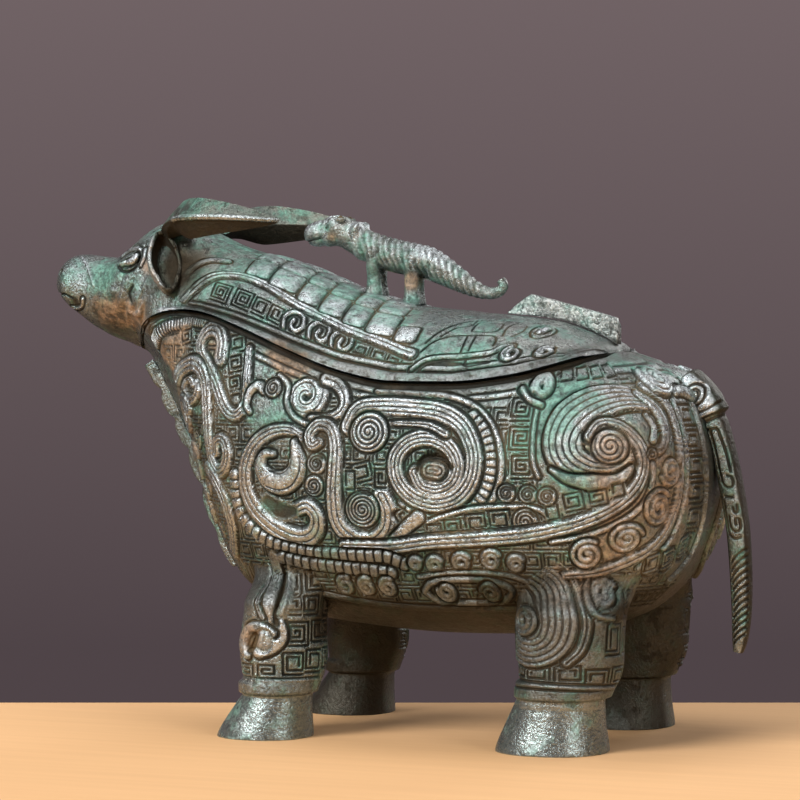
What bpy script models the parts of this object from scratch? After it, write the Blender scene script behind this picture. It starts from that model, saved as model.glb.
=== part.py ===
"""Ox-shaped bronze pouring vessel with a lift-off lid.

The animal is one smooth form, drawn by four outlines along its length. A curved parting
line splits it into a hollow vessel with a spout neck and a lid that carries the head.
Legs, tail, horns, ears, tiger knob, chest flange and crest are castings that sit on the
form with a thin seat gap. Outlines are in millimetres. The head looks along -X, the tail
hangs at +X, +Z is up, and the hooves stand on z = 0.
"""

import math
from bisect import bisect_right
from collections import namedtuple

import bmesh
import bpy
from mathutils import Matrix, Vector

MM = 0.001

# Wall, seats and the lid's locating tongues
WALL = 3.0
SEAT_GAP = 0.3
LID_GAP = 0.4
TONGUE_DEPTH = 3.5
TONGUE_THICKNESS = 1.8
TONGUE_CLEARANCE = 0.6
TONGUE_FRONT_X, TONGUE_REAR_X = -44.0, 44.0

# Outlines of the whole form along its length, as (x, value)
MUZZLE_X, RUMP_X = -94.4, 85.5
MUZZLE_ROUND, RUMP_ROUND = 7.0, 10.0
SQUARENESS = 0.86
BELLY_LINE = ((-95, 110.0), (-90, 106.8), (-84, 102.5), (-78, 98.7), (-73, 97.0), (-69, 95.4),
              (-66, 91.5), (-63, 86.0), (-55, 70.5), (-49.5, 57.0), (-46, 46.5), (-43, 40.0),
              (-38, 35.0), (-28, 30.5), (-10, 27.0), (20, 25.0), (50, 26.0), (66, 30.5),
              (78, 40.0), (86, 48.0))
BACK_LINE = ((-95, 119.8), (-88, 121.2), (-77, 120.2), (-74, 121.0), (-66, 127.4), (-61, 129.8),
             (-54, 128.2), (-41, 122.4), (-25, 118.0), (-8, 111.2), (10, 106.8), (30, 104.9),
             (46, 101.4), (55, 98.2), (62.4, 95.3), (70, 92.8), (78, 89.5), (86, 83.5))
LID_HEEL_LINE = ((24, 105.3), (46, 103.0), (54, 100.2), (58, 98.4), (60.6, 97.0), (62.4, 95.5))
PLAN_LINE = ((-95, 8.6), (-88, 10.6), (-82, 10.8), (-74, 14.0), (-62, 17.8), (-49, 23.0),
             (-30, 33.8), (-10, 39.6), (10, 42.2), (40, 43.0), (60, 41.3), (70, 38.0),
             (78, 34.5), (86, 30.0))
WIDEST_LINE = ((-95, 113.5), (-82, 110.5), (-66, 107.0), (-56, 100.0), (-41, 80.0), (-10, 66.0),
               (40, 64.0), (86, 67.0))
KEEL_LINE = ((-95, 0.86), (-80, 1.0), (-72, 1.6), (-66, 1.9), (-56, 1.75), (-46, 1.55), (-32, 1.05),
             (-15, 0.86), (86, 0.86))
PARTING_LINE = ((-78, 87.0), (-70.5, 96.4), (-66, 100.2), (-58, 104.2), (-50, 105.6), (-43, 105.0),
                (-30, 101.3), (-14, 95.2), (0, 90.5), (15, 87.7), (30, 87.6), (45, 89.3),
                (55, 92.2), (62.4, 95.3), (70, 99.0))

# Swellings of the side walls, as (x, z, radius, height)
SWELLINGS = ((-13, 70, 19, 1.6), (67, 72, 17, 1.4), (-69.5, 118, 4.0, 1.2), (-89, 114, 5.0, 0.8))

# Cavity: rounded ends of the hollow inside the form
CAVITY_FRONT_X, CAVITY_REAR_X = -66.5, 82.0
CAVITY_FRONT_ROUND, CAVITY_REAR_ROUND = 12.0, 10.0

# Mesh fineness
HEAD_ROWS, MOUTH_ROWS, RUMP_ROWS = 14, 36, 9
VESSEL_POINTS, LID_POINTS = 13, 8

# Legs: rings from the sole up, as (height, centre x, half length, centre y, half width, rear spur)
FRONT_LEG_PLACE = (-23.0, 27.0)
FRONT_LEG = ((0.0, 0.2, 12.0, 0.0, 11.9, 0.0), (1.6, 0.4, 11.7, 0.0, 11.6, 0.0),
             (6.0, 1.8, 10.1, 0.0, 10.4, 0.0), (10.6, 3.6, 8.5, 0.0, 9.2, 0.0),
             (11.2, 3.6, 9.5, 0.0, 10.2, 0.6), (13.6, 3.6, 9.6, 0.0, 10.3, 1.6),
             (14.4, 4.2, 9.0, 0.0, 9.8, 2.2), (19.0, 4.8, 10.4, 0.0, 9.9, 1.8),
             (24.0, 4.9, 10.9, -0.2, 10.2, 0.6), (29.0, 5.8, 10.2, -0.4, 10.4, 0.0),
             (36.0, 6.6, 10.4, -0.8, 10.8, 0.0), (46.0, 8.0, 13.0, 2.0, 11.0, 0.0),
             (58.0, 10.0, 14.0, 7.0, 9.0, 0.0))
HIND_LEG_PLACE = (52.6, 27.0)
HIND_LEG = ((0.0, 0.0, 13.8, 0.0, 13.4, 0.0), (1.6, 0.1, 13.6, 0.0, 13.1, 0.0),
            (7.0, 0.9, 11.9, 0.0, 11.7, 0.0), (12.6, 2.2, 10.5, 0.0, 10.8, 0.0),
            (13.2, 2.4, 11.5, 0.0, 11.7, 0.6), (16.0, 2.8, 11.6, 0.0, 11.8, 1.4),
            (16.8, 3.4, 11.2, 0.0, 11.3, 2.2), (21.0, 4.2, 12.2, 0.0, 11.3, 1.6),
            (27.0, 4.6, 12.7, -0.2, 11.6, 0.4), (35.0, 5.2, 13.2, -0.6, 12.0, 0.0),
            (46.0, 7.0, 15.5, 1.0, 12.5, 0.0), (60.0, 9.0, 16.0, 7.0, 10.0, 0.0))
LEG_SIDES = 20

# Tail: path in the middle plane with half sizes, as (x, z, half along the path's side, half in y)
TAIL_PATH = ((78.0, 87.5, 3.4, 4.6), (82.6, 82.6, 3.7, 4.6), (86.4, 74.0, 3.1, 4.2),
             (88.9, 64.0, 2.9, 4.1), (90.8, 53.0, 2.8, 4.0), (91.6, 42.0, 2.7, 3.8),
             (91.8, 32.0, 2.4, 3.2), (91.4, 25.5, 1.9, 2.5), (90.9, 22.4, 1.2, 1.6))

# Horn: path with half height and half thickness, as (x, y, z, half height, half thickness)
HORN_PATH = ((-56.5, 8.0, 122.4, 2.8, 4.2), (-54.0, 13.0, 126.0, 3.5, 4.3),
             (-50.3, 18.4, 128.0, 4.8, 4.2), (-44.5, 23.0, 128.9, 5.3, 3.9),
             (-37.0, 25.4, 128.9, 4.4, 3.2), (-29.5, 25.8, 128.5, 3.1, 2.4),
             (-24.0, 25.0, 128.1, 1.8, 1.5), (-20.6, 24.2, 127.9, 0.8, 0.7))

# Ear: a leaf that droops from under the horn, with its hollow side to the rear
EAR_ROOT, EAR_TIP, EAR_OPENS = (-57.5, 15.8, 119.8), (-52.5, 23.6, 109.8), (0.8, 0.6, 0.0)
EAR_HALF_WIDTH, EAR_HALF_THICKNESS, EAR_HOLLOW = 4.0, 2.6, 0.66

# Tiger: body path in the middle plane with its radius, as (x, z, radius), and its feet
TIGER_PATH = ((-23.2, 125.0, 1.5), (-21.8, 125.2, 2.6), (-18.0, 125.6, 3.4), (-13.6, 126.0, 4.1),
              (-10.2, 124.2, 3.9), (-7.0, 122.4, 4.0), (-2.0, 120.4, 4.3), (2.4, 119.2, 4.4),
              (7.0, 118.2, 4.2), (11.0, 117.0, 4.0), (16.5, 114.3, 3.4), (21.3, 111.6, 2.4),
              (25.3, 110.0, 1.7), (28.6, 110.0, 1.5), (30.3, 111.6, 1.4), (29.6, 113.2, 1.2))
TIGER_FEET = ((-3.9, 3.2), (6.3, 3.2))
TIGER_FOOT_RADIUS = 1.7
TIGER_EAR = (-12.6, 3.0, 129.4, 1.6)

# Main raised scrolls of each flank, as (x, z, half width) along the band
SCROLL_RISE, SCROLL_ROOT, SCROLL_SLANT = 0.9, 1.6, 0.5
GREAT_COIL = ((5.6, 81.0, 2.2), (9.6, 83.4, 2.2), (20, 83.0, 2.3), (31, 81.6, 2.3), (38.4, 77.0, 2.3),
              (41.4, 70.0, 2.3), (40.2, 62.8, 2.3), (35, 58.4, 2.2), (28, 57.2, 2.1), (21.4, 59.6, 2.0),
              (18.2, 65.0, 1.9), (19.4, 71.0, 1.9), (24.4, 74.8, 1.8), (30.4, 74.4, 1.8), (34.8, 71.0, 1.7),
              (35.8, 66.0, 1.7), (32.8, 62.6, 1.6), (28, 61.8, 1.5), (24, 64.2, 1.4))
HAUNCH_WHORL = ((73.4, 84.6, 1.4), (66.2, 86.8, 1.6), (60, 85.6, 1.7), (55.9, 81.6, 1.8), (54.6, 75.6, 1.9),
                (56.7, 69.6, 1.9), (62.3, 66.2, 1.9), (69.2, 65.4, 1.7), (75, 67.4, 1.2), (77.3, 72.0, 1.1),
                (75.8, 77.4, 1.2), (71.2, 80.4, 1.5), (66.3, 80.2, 1.6), (63.7, 76.6, 1.5), (64.4, 71.6, 1.3))
LONG_BAND = ((77.7, 62.6, 1.1), (71.5, 57.4, 1.4), (62.7, 53.6, 1.5), (52, 51.4, 1.3), (40, 50.2, 1.1),
             (26, 49.4, 0.9))
HOOKED_BAND = ((-3.6, 74.6, 1.0), (-1.6, 77.2, 1.3), (1.8, 76.2, 1.5), (3.6, 72.0, 1.6), (3.2, 66.0, 1.7),
               (2.4, 59.5, 1.7), (3, 53.6, 1.8), (7.2, 50.2, 1.9), (12.4, 50.0, 1.9), (16.2, 53.4, 1.8),
               (16.6, 58.2, 1.7), (13.2, 61.4, 1.5))
SHOULDER_CRESCENT = ((-5.6, 72.5, 1.2), (-9.5, 75.4, 1.3), (-15.2, 75.4, 1.4), (-20.6, 72.0, 1.5),
                     (-23.4, 66.0, 1.6), (-22.6, 59.8, 1.6), (-18.4, 54.8, 1.7), (-13.2, 51.6, 1.8),
                     (-8.4, 50.8, 1.8), (-4.2, 52.8, 1.6), (-3.2, 56.4, 1.4), (-5.4, 58.9, 1.2))
SHOULDER_COMMA = ((-7.4, 69.5, 1.2), (-7.6, 65.4, 1.4), (-11, 62.2, 1.5), (-15.6, 62.6, 1.5),
                  (-18.8, 66.0, 1.5), (-18, 70.0, 1.4), (-14.6, 71.4, 1.2))
NECK_HOOK = ((-33.8, 95.5, 1.0), (-35.2, 99.0, 1.2), (-38.4, 100.0, 1.3), (-40.9, 97.8, 1.3),
             (-40.2, 94.6, 1.3), (-37.3, 92.0, 1.3), (-34.2, 89.0, 1.3), (-31.9, 85.0, 1.3),
             (-29.2, 81.2, 1.2), (-25.6, 80.6, 1.0))
CHEST_BAND = ((-37.9, 88.0, 1.0), (-36.6, 82.0, 1.3), (-36.4, 75.0, 1.3), (-35.6, 69.0, 1.3),
              (-33.2, 66.2, 1.2), (-30.4, 68.0, 1.1), (-30, 72.0, 0.9))
SCROLLS = (GREAT_COIL, HAUNCH_WHORL, LONG_BAND, HOOKED_BAND, SHOULDER_CRESCENT, SHOULDER_COMMA,
           NECK_HOOK, CHEST_BAND)

# Plates in the middle plane
FLANGE_TOP_X, FLANGE_LOW_X = -67.0, -43.0
FLANGE_STAND, FLANGE_THICKNESS, FLANGE_TEETH = 2.8, 3.0, 6
CREST_LINE = ((32.0, 105.4), (37.6, 109.8), (60.6, 103.6), (60.6, 97.0))
CREST_THICKNESS = 3.2
PLATE_DEPTH = 4.0

Section = namedtuple("Section", "x bottom top half_width widest keel")


def curve_through(points):
    """Smooth curve through (x, value) points that never overshoots them."""
    xs = [p[0] for p in points]
    vs = [p[1] for p in points]
    steps = [(vs[i + 1] - vs[i]) / (xs[i + 1] - xs[i]) for i in range(len(xs) - 1)]
    slopes = [steps[0]]
    for before, after in zip(steps, steps[1:]):
        same_way = before * after > 0
        slopes.append(2 * before * after / (before + after) if same_way else 0.0)
    slopes.append(steps[-1])

    def value(x):
        i = min(max(bisect_right(xs, x) - 1, 0), len(xs) - 2)
        span = xs[i + 1] - xs[i]
        t = (x - xs[i]) / span
        return ((1 + 2 * t) * (1 - t) ** 2 * vs[i] + t * (1 - t) ** 2 * span * slopes[i]
                + t * t * (3 - 2 * t) * vs[i + 1] + t * t * (t - 1) * span * slopes[i + 1])

    return value


belly = curve_through(BELLY_LINE)
back = curve_through(BACK_LINE)
plan = curve_through(PLAN_LINE)
widest_level = curve_through(WIDEST_LINE)
keel_sharpness = curve_through(KEEL_LINE)
parting = curve_through(PARTING_LINE)
lid_heel = curve_through(LID_HEEL_LINE)


def slope(curve, x):
    return (curve(x + 0.25) - curve(x - 0.25)) / 0.5


def rounding(x, front, front_length, rear, rear_length):
    """One along the middle, falling to zero at both ends as quarter ellipses."""
    inward = min((x - front) / front_length, (rear - x) / rear_length, 1.0)
    return math.sqrt(max(0.0, 1.0 - (1.0 - max(inward, 0.0)) ** 2))


def lid_back(x):
    """Top line of the lid, which ends in a blunt heel on the rump."""
    return lid_heel(x) if LID_HEEL_LINE[0][0] < x < LID_HEEL_LINE[-1][0] else back(x)


def form_section(x, grow=0.0, top_line=None):
    """Cross-section of the animal at x, grown outward by a seat gap where one is asked for."""
    share = rounding(x, MUZZLE_X - grow, MUZZLE_ROUND, RUMP_X + grow, RUMP_ROUND)
    level = widest_level(x)
    inside = min(max(x, MUZZLE_X), RUMP_X)
    steep_belly = min(math.hypot(1.0, slope(belly, inside)), 2.6)
    steep_back = min(math.hypot(1.0, slope(back, inside)), 1.6)
    bottom = belly(inside) - grow * steep_belly
    top = (top_line or back)(inside) + grow * steep_back
    return Section(x, level + (bottom - level) * share, level + (top - level) * share,
                   (plan(inside) + grow) * share, level, keel_sharpness(inside))


def cavity_section(x):
    """Cross-section of the hollow at x, one wall inside the form."""
    outer = form_section(x)
    bottom = belly(x) + WALL * min(math.hypot(1.0, slope(belly, x)), 2.2)
    top = back(x) - WALL * min(math.hypot(1.0, slope(back, x)), 1.3)
    half = plan(x) - WALL
    share = rounding(x, CAVITY_FRONT_X, CAVITY_FRONT_ROUND, CAVITY_REAR_X, CAVITY_REAR_ROUND)
    at_front = x < CAVITY_FRONT_X + CAVITY_FRONT_ROUND
    middle = parting(x) if at_front else outer.widest
    widest = middle + (outer.widest - middle) * share
    return Section(x, middle + (bottom - middle) * share, middle + (top - middle) * share,
                   half * share, widest, outer.keel)


def swelling(x, z):
    return sum(height * math.exp(-((x - cx) ** 2 + (z - cz) ** 2) / radius ** 2)
               for cx, cz, radius, height in SWELLINGS)


def rim_angle(section, level):
    """Angle on the cross-section at which it reaches the given level."""
    lift = section.top - section.widest if level > section.widest else section.widest - section.bottom
    if lift < 1e-6:
        return 0.0
    share = (level - section.widest) / lift
    power = SQUARENESS if share > 0 else section.keel
    sine = math.copysign(min(abs(share), 1.0) ** (1.0 / power), share)
    return math.asin(sine)


def outline_point(section, angle, side, swell=True):
    """Point on a cross-section: angle -90 degrees is the keel, +90 degrees the back."""
    lift = section.top - section.widest if angle > 0 else section.widest - section.bottom
    power = SQUARENESS if angle > 0 else section.keel
    wide = max(math.cos(angle), 0.0) ** power
    z = section.widest + lift * math.copysign(abs(math.sin(angle)) ** power, angle)
    y = section.half_width * wide
    if swell:
        y *= 1.0 + swelling(section.x, z) / plan(section.x)
    return Vector((section.x, side * y, z)) * MM


def arc(section, first, last, count, swell=True):
    """Points from one rim over the keel or the back to the other rim, at angles first to last."""
    angles = [first + (last - first) * i / count for i in range(count + 1)]
    near = [outline_point(section, a, -1, swell) for a in angles]
    far = [outline_point(section, a, 1, swell) for a in reversed(angles[:-1])]
    return near + far


def spread(start, end, count, crowd_start=False, crowd_end=False):
    """Positions from start to end, set closer together at the ends that ask for it."""
    places = []
    for i in range(count + 1):
        t = i / count
        if crowd_start:
            t = t ** 1.7
        if crowd_end:
            t = 1.0 - (1.0 - t) ** 1.9
        places.append(start + (end - start) * t)
    return places


def crossing(curve_a, curve_b, low, high):
    """Place between low and high where the two curves meet."""
    side = curve_a(low) > curve_b(low)
    for _ in range(60):
        middle = (low + high) / 2
        if (curve_a(middle) > curve_b(middle)) == side:
            low = middle
        else:
            high = middle
    return (low + high) / 2


def add_grid(bm, rows):
    """Faces between neighbouring rows of points; rows of the vertices that were made."""
    made = [[bm.verts.new(point) for point in row] for row in rows]
    for row, following in zip(made, made[1:]):
        for i in range(len(row) - 1):
            bm.faces.new((row[i], row[i + 1], following[i + 1], following[i]))
    return made


def add_strip(bm, one, other):
    for i in range(len(one) - 1):
        bm.faces.new((one[i], one[i + 1], other[i + 1], other[i]))


def bronze(name, colour, roughness):
    material = bpy.data.materials.new(name)
    material.use_nodes = True
    shader = material.node_tree.nodes["Principled BSDF"]
    shader.inputs["Base Color"].default_value = (*colour, 1.0)
    shader.inputs["Roughness"].default_value = roughness
    shader.inputs["Metallic"].default_value = 0.65
    return material


DARK_GREEN, OLIVE, GREY = (0.045, 0.060, 0.048), (0.060, 0.062, 0.042), (0.110, 0.120, 0.115)


def finish(bm, name, parent, colour=DARK_GREEN, roughness=0.45, sharp=35.0):
    """Turn a bmesh into a named object with its own bronze, on its parent."""
    bmesh.ops.remove_doubles(bm, verts=bm.verts, dist=1e-6)
    bmesh.ops.recalc_face_normals(bm, faces=bm.faces)
    mesh = bpy.data.meshes.new(name)
    bm.to_mesh(mesh)
    bm.free()
    mesh.shade_smooth()
    mesh.set_sharp_from_angle(angle=math.radians(sharp))
    mesh.materials.append(bronze(name + "_bronze", colour, roughness))
    piece = bpy.data.objects.new(name, mesh)
    bpy.context.scene.collection.objects.link(piece)
    if parent:
        piece.parent = parent
        piece.matrix_parent_inverse = Matrix.Translation(-parent.location)
    return piece


def hide(piece):
    piece.hide_render = True
    piece.display_type = "WIRE"


def combine(piece, other, operation):
    modifier = piece.modifiers.new(operation.lower(), "BOOLEAN")
    modifier.operation = operation
    modifier.solver = "EXACT"
    modifier.object = other


def anchor(name, location):
    empty = bpy.data.objects.new(name, None)
    empty.location = location
    bpy.context.scene.collection.objects.link(empty)
    return empty


def make_envelope():
    """The whole form, one seat gap larger: what the attached castings are fitted to."""
    bm = bmesh.new()
    places = (spread(MUZZLE_X - SEAT_GAP, -70.0, HEAD_ROWS, crowd_start=True)
              + spread(-70.0, 62.4, MOUTH_ROWS)[1:]
              + spread(62.4, RUMP_X + SEAT_GAP, RUMP_ROWS, crowd_end=True)[1:])
    right_angle = math.pi / 2
    add_grid(bm, [arc(form_section(x, SEAT_GAP, lid_back), -right_angle, right_angle, VESSEL_POINTS)
                  for x in places])
    envelope = finish(bm, "envelope", None)
    hide(envelope)
    return envelope


def make_vessel(parent):
    """Hollow belly, chest and rump, open along the parting line."""
    bm = bmesh.new()
    lip = crossing(belly, parting, -77.0, -64.0)
    heel = 62.4
    inner_heel = crossing(lambda x: cavity_section(x).top, parting, 40.0, 62.0)
    keel = -math.pi / 2

    def rows(section, places):
        made = []
        for x in places:
            cut = section(x)
            angle = rim_angle(cut, min(parting(x), cut.top)) if x < places[MOUTH_ROWS] else math.pi / 2
            made.append(arc(cut, angle, keel, VESSEL_POINTS, section is form_section))
        return made

    outer_places = spread(lip, heel, MOUTH_ROWS) + spread(heel, RUMP_X, RUMP_ROWS, crowd_end=True)[1:]
    inner_places = (spread(CAVITY_FRONT_X, inner_heel, MOUTH_ROWS)
                    + spread(inner_heel, CAVITY_REAR_X, RUMP_ROWS, crowd_end=True)[1:])
    outer = add_grid(bm, rows(form_section, outer_places))
    inner = add_grid(bm, rows(cavity_section, inner_places))
    for end in (0, -1):
        add_strip(bm, [row[end] for row in outer[:MOUTH_ROWS + 1]], [row[end] for row in inner[:MOUTH_ROWS + 1]])
    return finish(bm, "vessel_body", parent)


def make_tongue(side):
    """Strip under the lid's rim that drops inside the vessel's mouth."""
    bm = bmesh.new()
    rings = []
    for x in spread(TONGUE_FRONT_X, TONGUE_REAR_X, 22):
        cut = cavity_section(x)
        level = parting(x)
        rim = outline_point(cut, rim_angle(cut, level), side, False)
        outer = abs(rim.y) / MM - TONGUE_CLEARANCE
        inner = outer - TONGUE_THICKNESS
        root = outer + TONGUE_CLEARANCE + WALL / 2
        ring = [(outer, level + 1.1), (outer, level - TONGUE_DEPTH), (inner, level - TONGUE_DEPTH),
                (inner, level + 2.6), (root, level + 2.6), (root, level + 1.1)]
        rings.append([Vector((x, side * y, z)) * MM for y, z in ring])
    ring_skin(bm, rings)
    tongue = finish(bm, "tongue_" + ("left" if side < 0 else "right"), None)
    hide(tongue)
    return tongue


def make_lid(parent):
    """Head, neck and back in one shell, hollow behind the head."""
    bm = bmesh.new()

    def seat(x):
        return parting(x) + LID_GAP

    lip = crossing(belly, seat, -77.0, -64.0)
    heel = crossing(lid_back, seat, 58.0, 62.39)
    inner_heel = crossing(lambda x: cavity_section(x).top, seat, 40.0, 62.0)
    over = math.pi / 2

    def lid_section(x):
        return form_section(x, 0.0, lid_back)

    def rows(section, places):
        made = []
        for x in places:
            cut = section(x)
            level = min(max(seat(x), cut.bottom), cut.top)
            made.append(arc(cut, rim_angle(cut, level), over, LID_POINTS, section is lid_section))
        return made

    head_places = spread(MUZZLE_X, lip, HEAD_ROWS, crowd_start=True)
    outer = add_grid(bm, rows(lid_section, head_places + spread(lip, heel, MOUTH_ROWS)[1:]))
    inner = add_grid(bm, rows(cavity_section, spread(CAVITY_FRONT_X, inner_heel, MOUTH_ROWS)))
    for end in (0, -1):
        add_strip(bm, [row[end] for row in outer[HEAD_ROWS:]], [row[end] for row in inner])
    lid = finish(bm, "lid", parent)
    for side in (-1, 1):
        combine(lid, make_tongue(side), "UNION")
    return lid


def ring_skin(bm, rings):
    """Closed skin over rings of points, with a flat cap at both ends."""
    made = [[bm.verts.new(point) for point in ring] for ring in rings]
    for ring, following in zip(made, made[1:]):
        count = len(ring)
        for i in range(count):
            bm.faces.new((ring[i], ring[(i + 1) % count], following[(i + 1) % count], following[i]))
    bm.faces.new(list(reversed(made[0])))
    bm.faces.new(made[-1])


def make_leg(name, rings, place, side, parent, envelope):
    """Flared hoof, collar and shank, fitted under the belly."""
    bm = bmesh.new()
    skin = []
    for height, shift, half_x, lean, half_y, spur in rings:
        ring = []
        for i in range(LEG_SIDES):
            angle = 2 * math.pi * i / LEG_SIDES
            reach = spur * max(math.cos(angle), 0.0) ** 4
            x = shift + (half_x + reach) * math.copysign(abs(math.cos(angle)) ** 0.9, math.cos(angle))
            y = half_y * math.copysign(abs(math.sin(angle)) ** 0.9, math.sin(angle)) - side * lean
            ring.append(Vector((x, y, height)) * MM)
        skin.append(ring)
    ring_skin(bm, skin)
    leg = finish(bm, name, None, OLIVE if side > 0 else DARK_GREEN)
    leg.location = Vector((place[0], side * place[1], 0.0)) * MM
    leg.parent = parent
    combine(leg, envelope, "DIFFERENCE")
    return leg


def smooth_path(points, per_span):
    """Points on a smooth path through the given rows of numbers."""
    rows = [Vector(p) for p in points]
    padded = [2 * rows[0] - rows[1]] + rows + [2 * rows[-1] - rows[-2]]
    made = []
    for i in range(len(rows) - 1):
        a, b, c, d = padded[i:i + 4]
        for k in range(per_span):
            t = k / per_span
            made.append(0.5 * (2 * b + (c - a) * t + (2 * a - 5 * b + 4 * c - d) * t * t
                               + (3 * b - a - 3 * c + d) * t ** 3))
    return made + [rows[-1]]


def sweep(bm, centres, halves, outline, level=False):
    """Skin swept along centres; outline gives (across, up) shares of the half sizes."""
    rings = []
    for i, centre in enumerate(centres):
        ahead = centres[min(i + 1, len(centres) - 1)] - centres[max(i - 1, 0)]
        ahead.normalize()
        across = Vector((0, 0, 1)).cross(ahead).normalized() if level else Vector((0, 1, 0))
        up = ahead.cross(across)
        wide, high = halves[i]
        rings.append([(centre + across * a * wide + up * b * high) * MM for a, b in outline])
    ring_skin(bm, rings)


def ring_outline(sides, squareness):
    outline = []
    for i in range(sides):
        angle = 2 * math.pi * (i + 0.5) / sides
        c, s = math.cos(angle), math.sin(angle)
        outline.append((math.copysign(abs(c) ** squareness, c), math.copysign(abs(s) ** squareness, s)))
    return outline


def skin_point(x, z, side, grow):
    """Point of the side wall at (x, z), stood off outward by grow."""
    section = form_section(x, grow)
    return outline_point(section, rim_angle(section, z), side)


def make_scrolls():
    """The main scrolls of both flanks, rooted in the wall."""
    bm = bmesh.new()
    for side in (-1, 1):
        for scroll in SCROLLS:
            path = smooth_path(scroll, 2)
            rings = []
            for i, (x, z, half) in enumerate(path):
                ahead = path[min(i + 1, len(path) - 1)] - path[max(i - 1, 0)]
                length = math.hypot(ahead.x, ahead.y)
                across = Vector((-ahead.y, ahead.x)) / length
                ridge = ((-half, -SCROLL_ROOT), (SCROLL_SLANT - half, SCROLL_RISE),
                         (half - SCROLL_SLANT, SCROLL_RISE), (half, -SCROLL_ROOT))
                rings.append([skin_point(x + across.x * reach, z + across.y * reach, side, grow)
                              for reach, grow in ridge])
            ring_skin(bm, rings)
    scrolls = finish(bm, "scrolls", None)
    hide(scrolls)
    return scrolls


def make_tail(parent, envelope):
    """Faceted strip that hangs from the rump."""
    bm = bmesh.new()
    path = smooth_path([(x, 0.0, z) for x, z, _, _ in TAIL_PATH], 2)
    sizes = smooth_path([(b, a, 0.0) for _, _, a, b in TAIL_PATH], 2)
    sweep(bm, path, [(s[0], s[1]) for s in sizes], ring_outline(12, 0.8))
    tail = finish(bm, "tail", parent)
    combine(tail, envelope, "DIFFERENCE")
    return tail


def make_horn(name, side, parent, envelope):
    """Spindle-shaped horn with a ridge along its outer side."""
    bm = bmesh.new()
    path = smooth_path([(x, side * y, z) for x, y, z, _, _ in HORN_PATH], 3)
    sizes = smooth_path([(thick, high, 0.0) for _, _, _, high, thick in HORN_PATH], 3)
    diamond = [(1.0, 0.0), (0.62, 0.52), (0.0, 1.0), (-0.62, 0.52), (-1.0, 0.0), (-0.62, -0.52),
               (0.0, -1.0), (0.62, -0.52)]
    sweep(bm, path, [(s[0], s[1]) for s in sizes], diamond, level=True)
    horn = finish(bm, name, parent, sharp=40.0)
    combine(horn, envelope, "DIFFERENCE")
    return horn


def make_ear(name, side, parent, envelope):
    """Leaf-shaped ear, hollowed on the side that looks back."""
    root = Vector((EAR_ROOT[0], side * EAR_ROOT[1], EAR_ROOT[2]))
    tip = Vector((EAR_TIP[0], side * EAR_TIP[1], EAR_TIP[2]))
    along = (tip - root).normalized()
    opens = Vector((EAR_OPENS[0], side * EAR_OPENS[1], EAR_OPENS[2]))
    opens = (opens - along * opens.dot(along)).normalized()
    across = along.cross(opens)
    length = (tip - root).length

    def leaf(name, grow, offset, start, end, sides):
        bm = bmesh.new()
        rings = []
        for t in spread(start, end, 8):
            girth = max(math.sin(math.pi * (0.16 + 0.82 * t)) ** 0.8, 0.12) * grow
            centre = root + along * length * t + opens * offset
            rings.append([(centre + across * EAR_HALF_WIDTH * girth * math.cos(a)
                           + opens * EAR_HALF_THICKNESS * girth * math.sin(a)) * MM
                          for a in [2 * math.pi * (k + 0.5) / sides for k in range(sides)]])
        ring_skin(bm, rings)
        return finish(bm, name, None)

    ear = leaf(name, 1.0, 0.0, 0.0, 1.0, 12)
    hollow = leaf(name + "_hollow", EAR_HOLLOW, EAR_HALF_THICKNESS * 0.75, 0.13, 0.9, 9)
    hide(hollow)
    ear.parent = parent
    ear.matrix_parent_inverse = Matrix.Translation(-parent.location)
    combine(ear, hollow, "DIFFERENCE")
    combine(ear, envelope, "DIFFERENCE")
    return ear


def add_ball(bm, centre, radius):
    matrix = Matrix.Translation(Vector(centre) * MM)
    bmesh.ops.create_uvsphere(bm, u_segments=10, v_segments=6, radius=radius * MM, matrix=matrix)


def make_tiger(parent, envelope):
    """Long-bodied tiger on four short legs, the grip of the lid."""
    bm = bmesh.new()
    path = smooth_path([(x, 0.0, z) for x, z, _ in TIGER_PATH], 2)
    sizes = smooth_path([(r * 0.96, r, 0.0) for _, _, r in TIGER_PATH], 2)
    sweep(bm, path, [(s[0], s[1]) for s in sizes], ring_outline(12, 1.0))
    tiger = finish(bm, "tiger_knob", parent)
    for side in (-1, 1):
        name = "left" if side < 0 else "right"
        for number, (x, y) in enumerate(TIGER_FEET):
            top = 121.0 - 0.28 * (x + 4.0)
            bm = bmesh.new()
            levels = ((top, 1.0), (back(x) + 2.4, 0.9), (back(x) + 1.0, 1.2), (back(x) - 2.0, 1.3))
            ring_skin(bm, [[Vector((x + TIGER_FOOT_RADIUS * share * math.cos(a),
                                    side * y + TIGER_FOOT_RADIUS * share * math.sin(a), z)) * MM
                            for a in [2 * math.pi * k / 10 for k in range(10)]] for z, share in levels])
            foot = finish(bm, "tiger_foot_%s_%d" % (name, number), None)
            hide(foot)
            combine(tiger, foot, "UNION")
        bm = bmesh.new()
        x, y, z, radius = TIGER_EAR
        add_ball(bm, (x, side * y, z), radius)
        ear = finish(bm, "tiger_ear_" + name, None)
        hide(ear)
        combine(tiger, ear, "UNION")
    combine(tiger, envelope, "DIFFERENCE")
    return tiger


def make_plate(name, outline, thickness, parent, envelope, colour):
    """Upright plate in the middle plane, fitted to the form under it."""
    bm = bmesh.new()
    rings = [[Vector((x, y, z)) * MM for x, z in outline] for y in (-thickness / 2, thickness / 2)]
    ring_skin(bm, rings)
    plate = finish(bm, name, parent, colour)
    combine(plate, envelope, "DIFFERENCE")
    return plate


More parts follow.
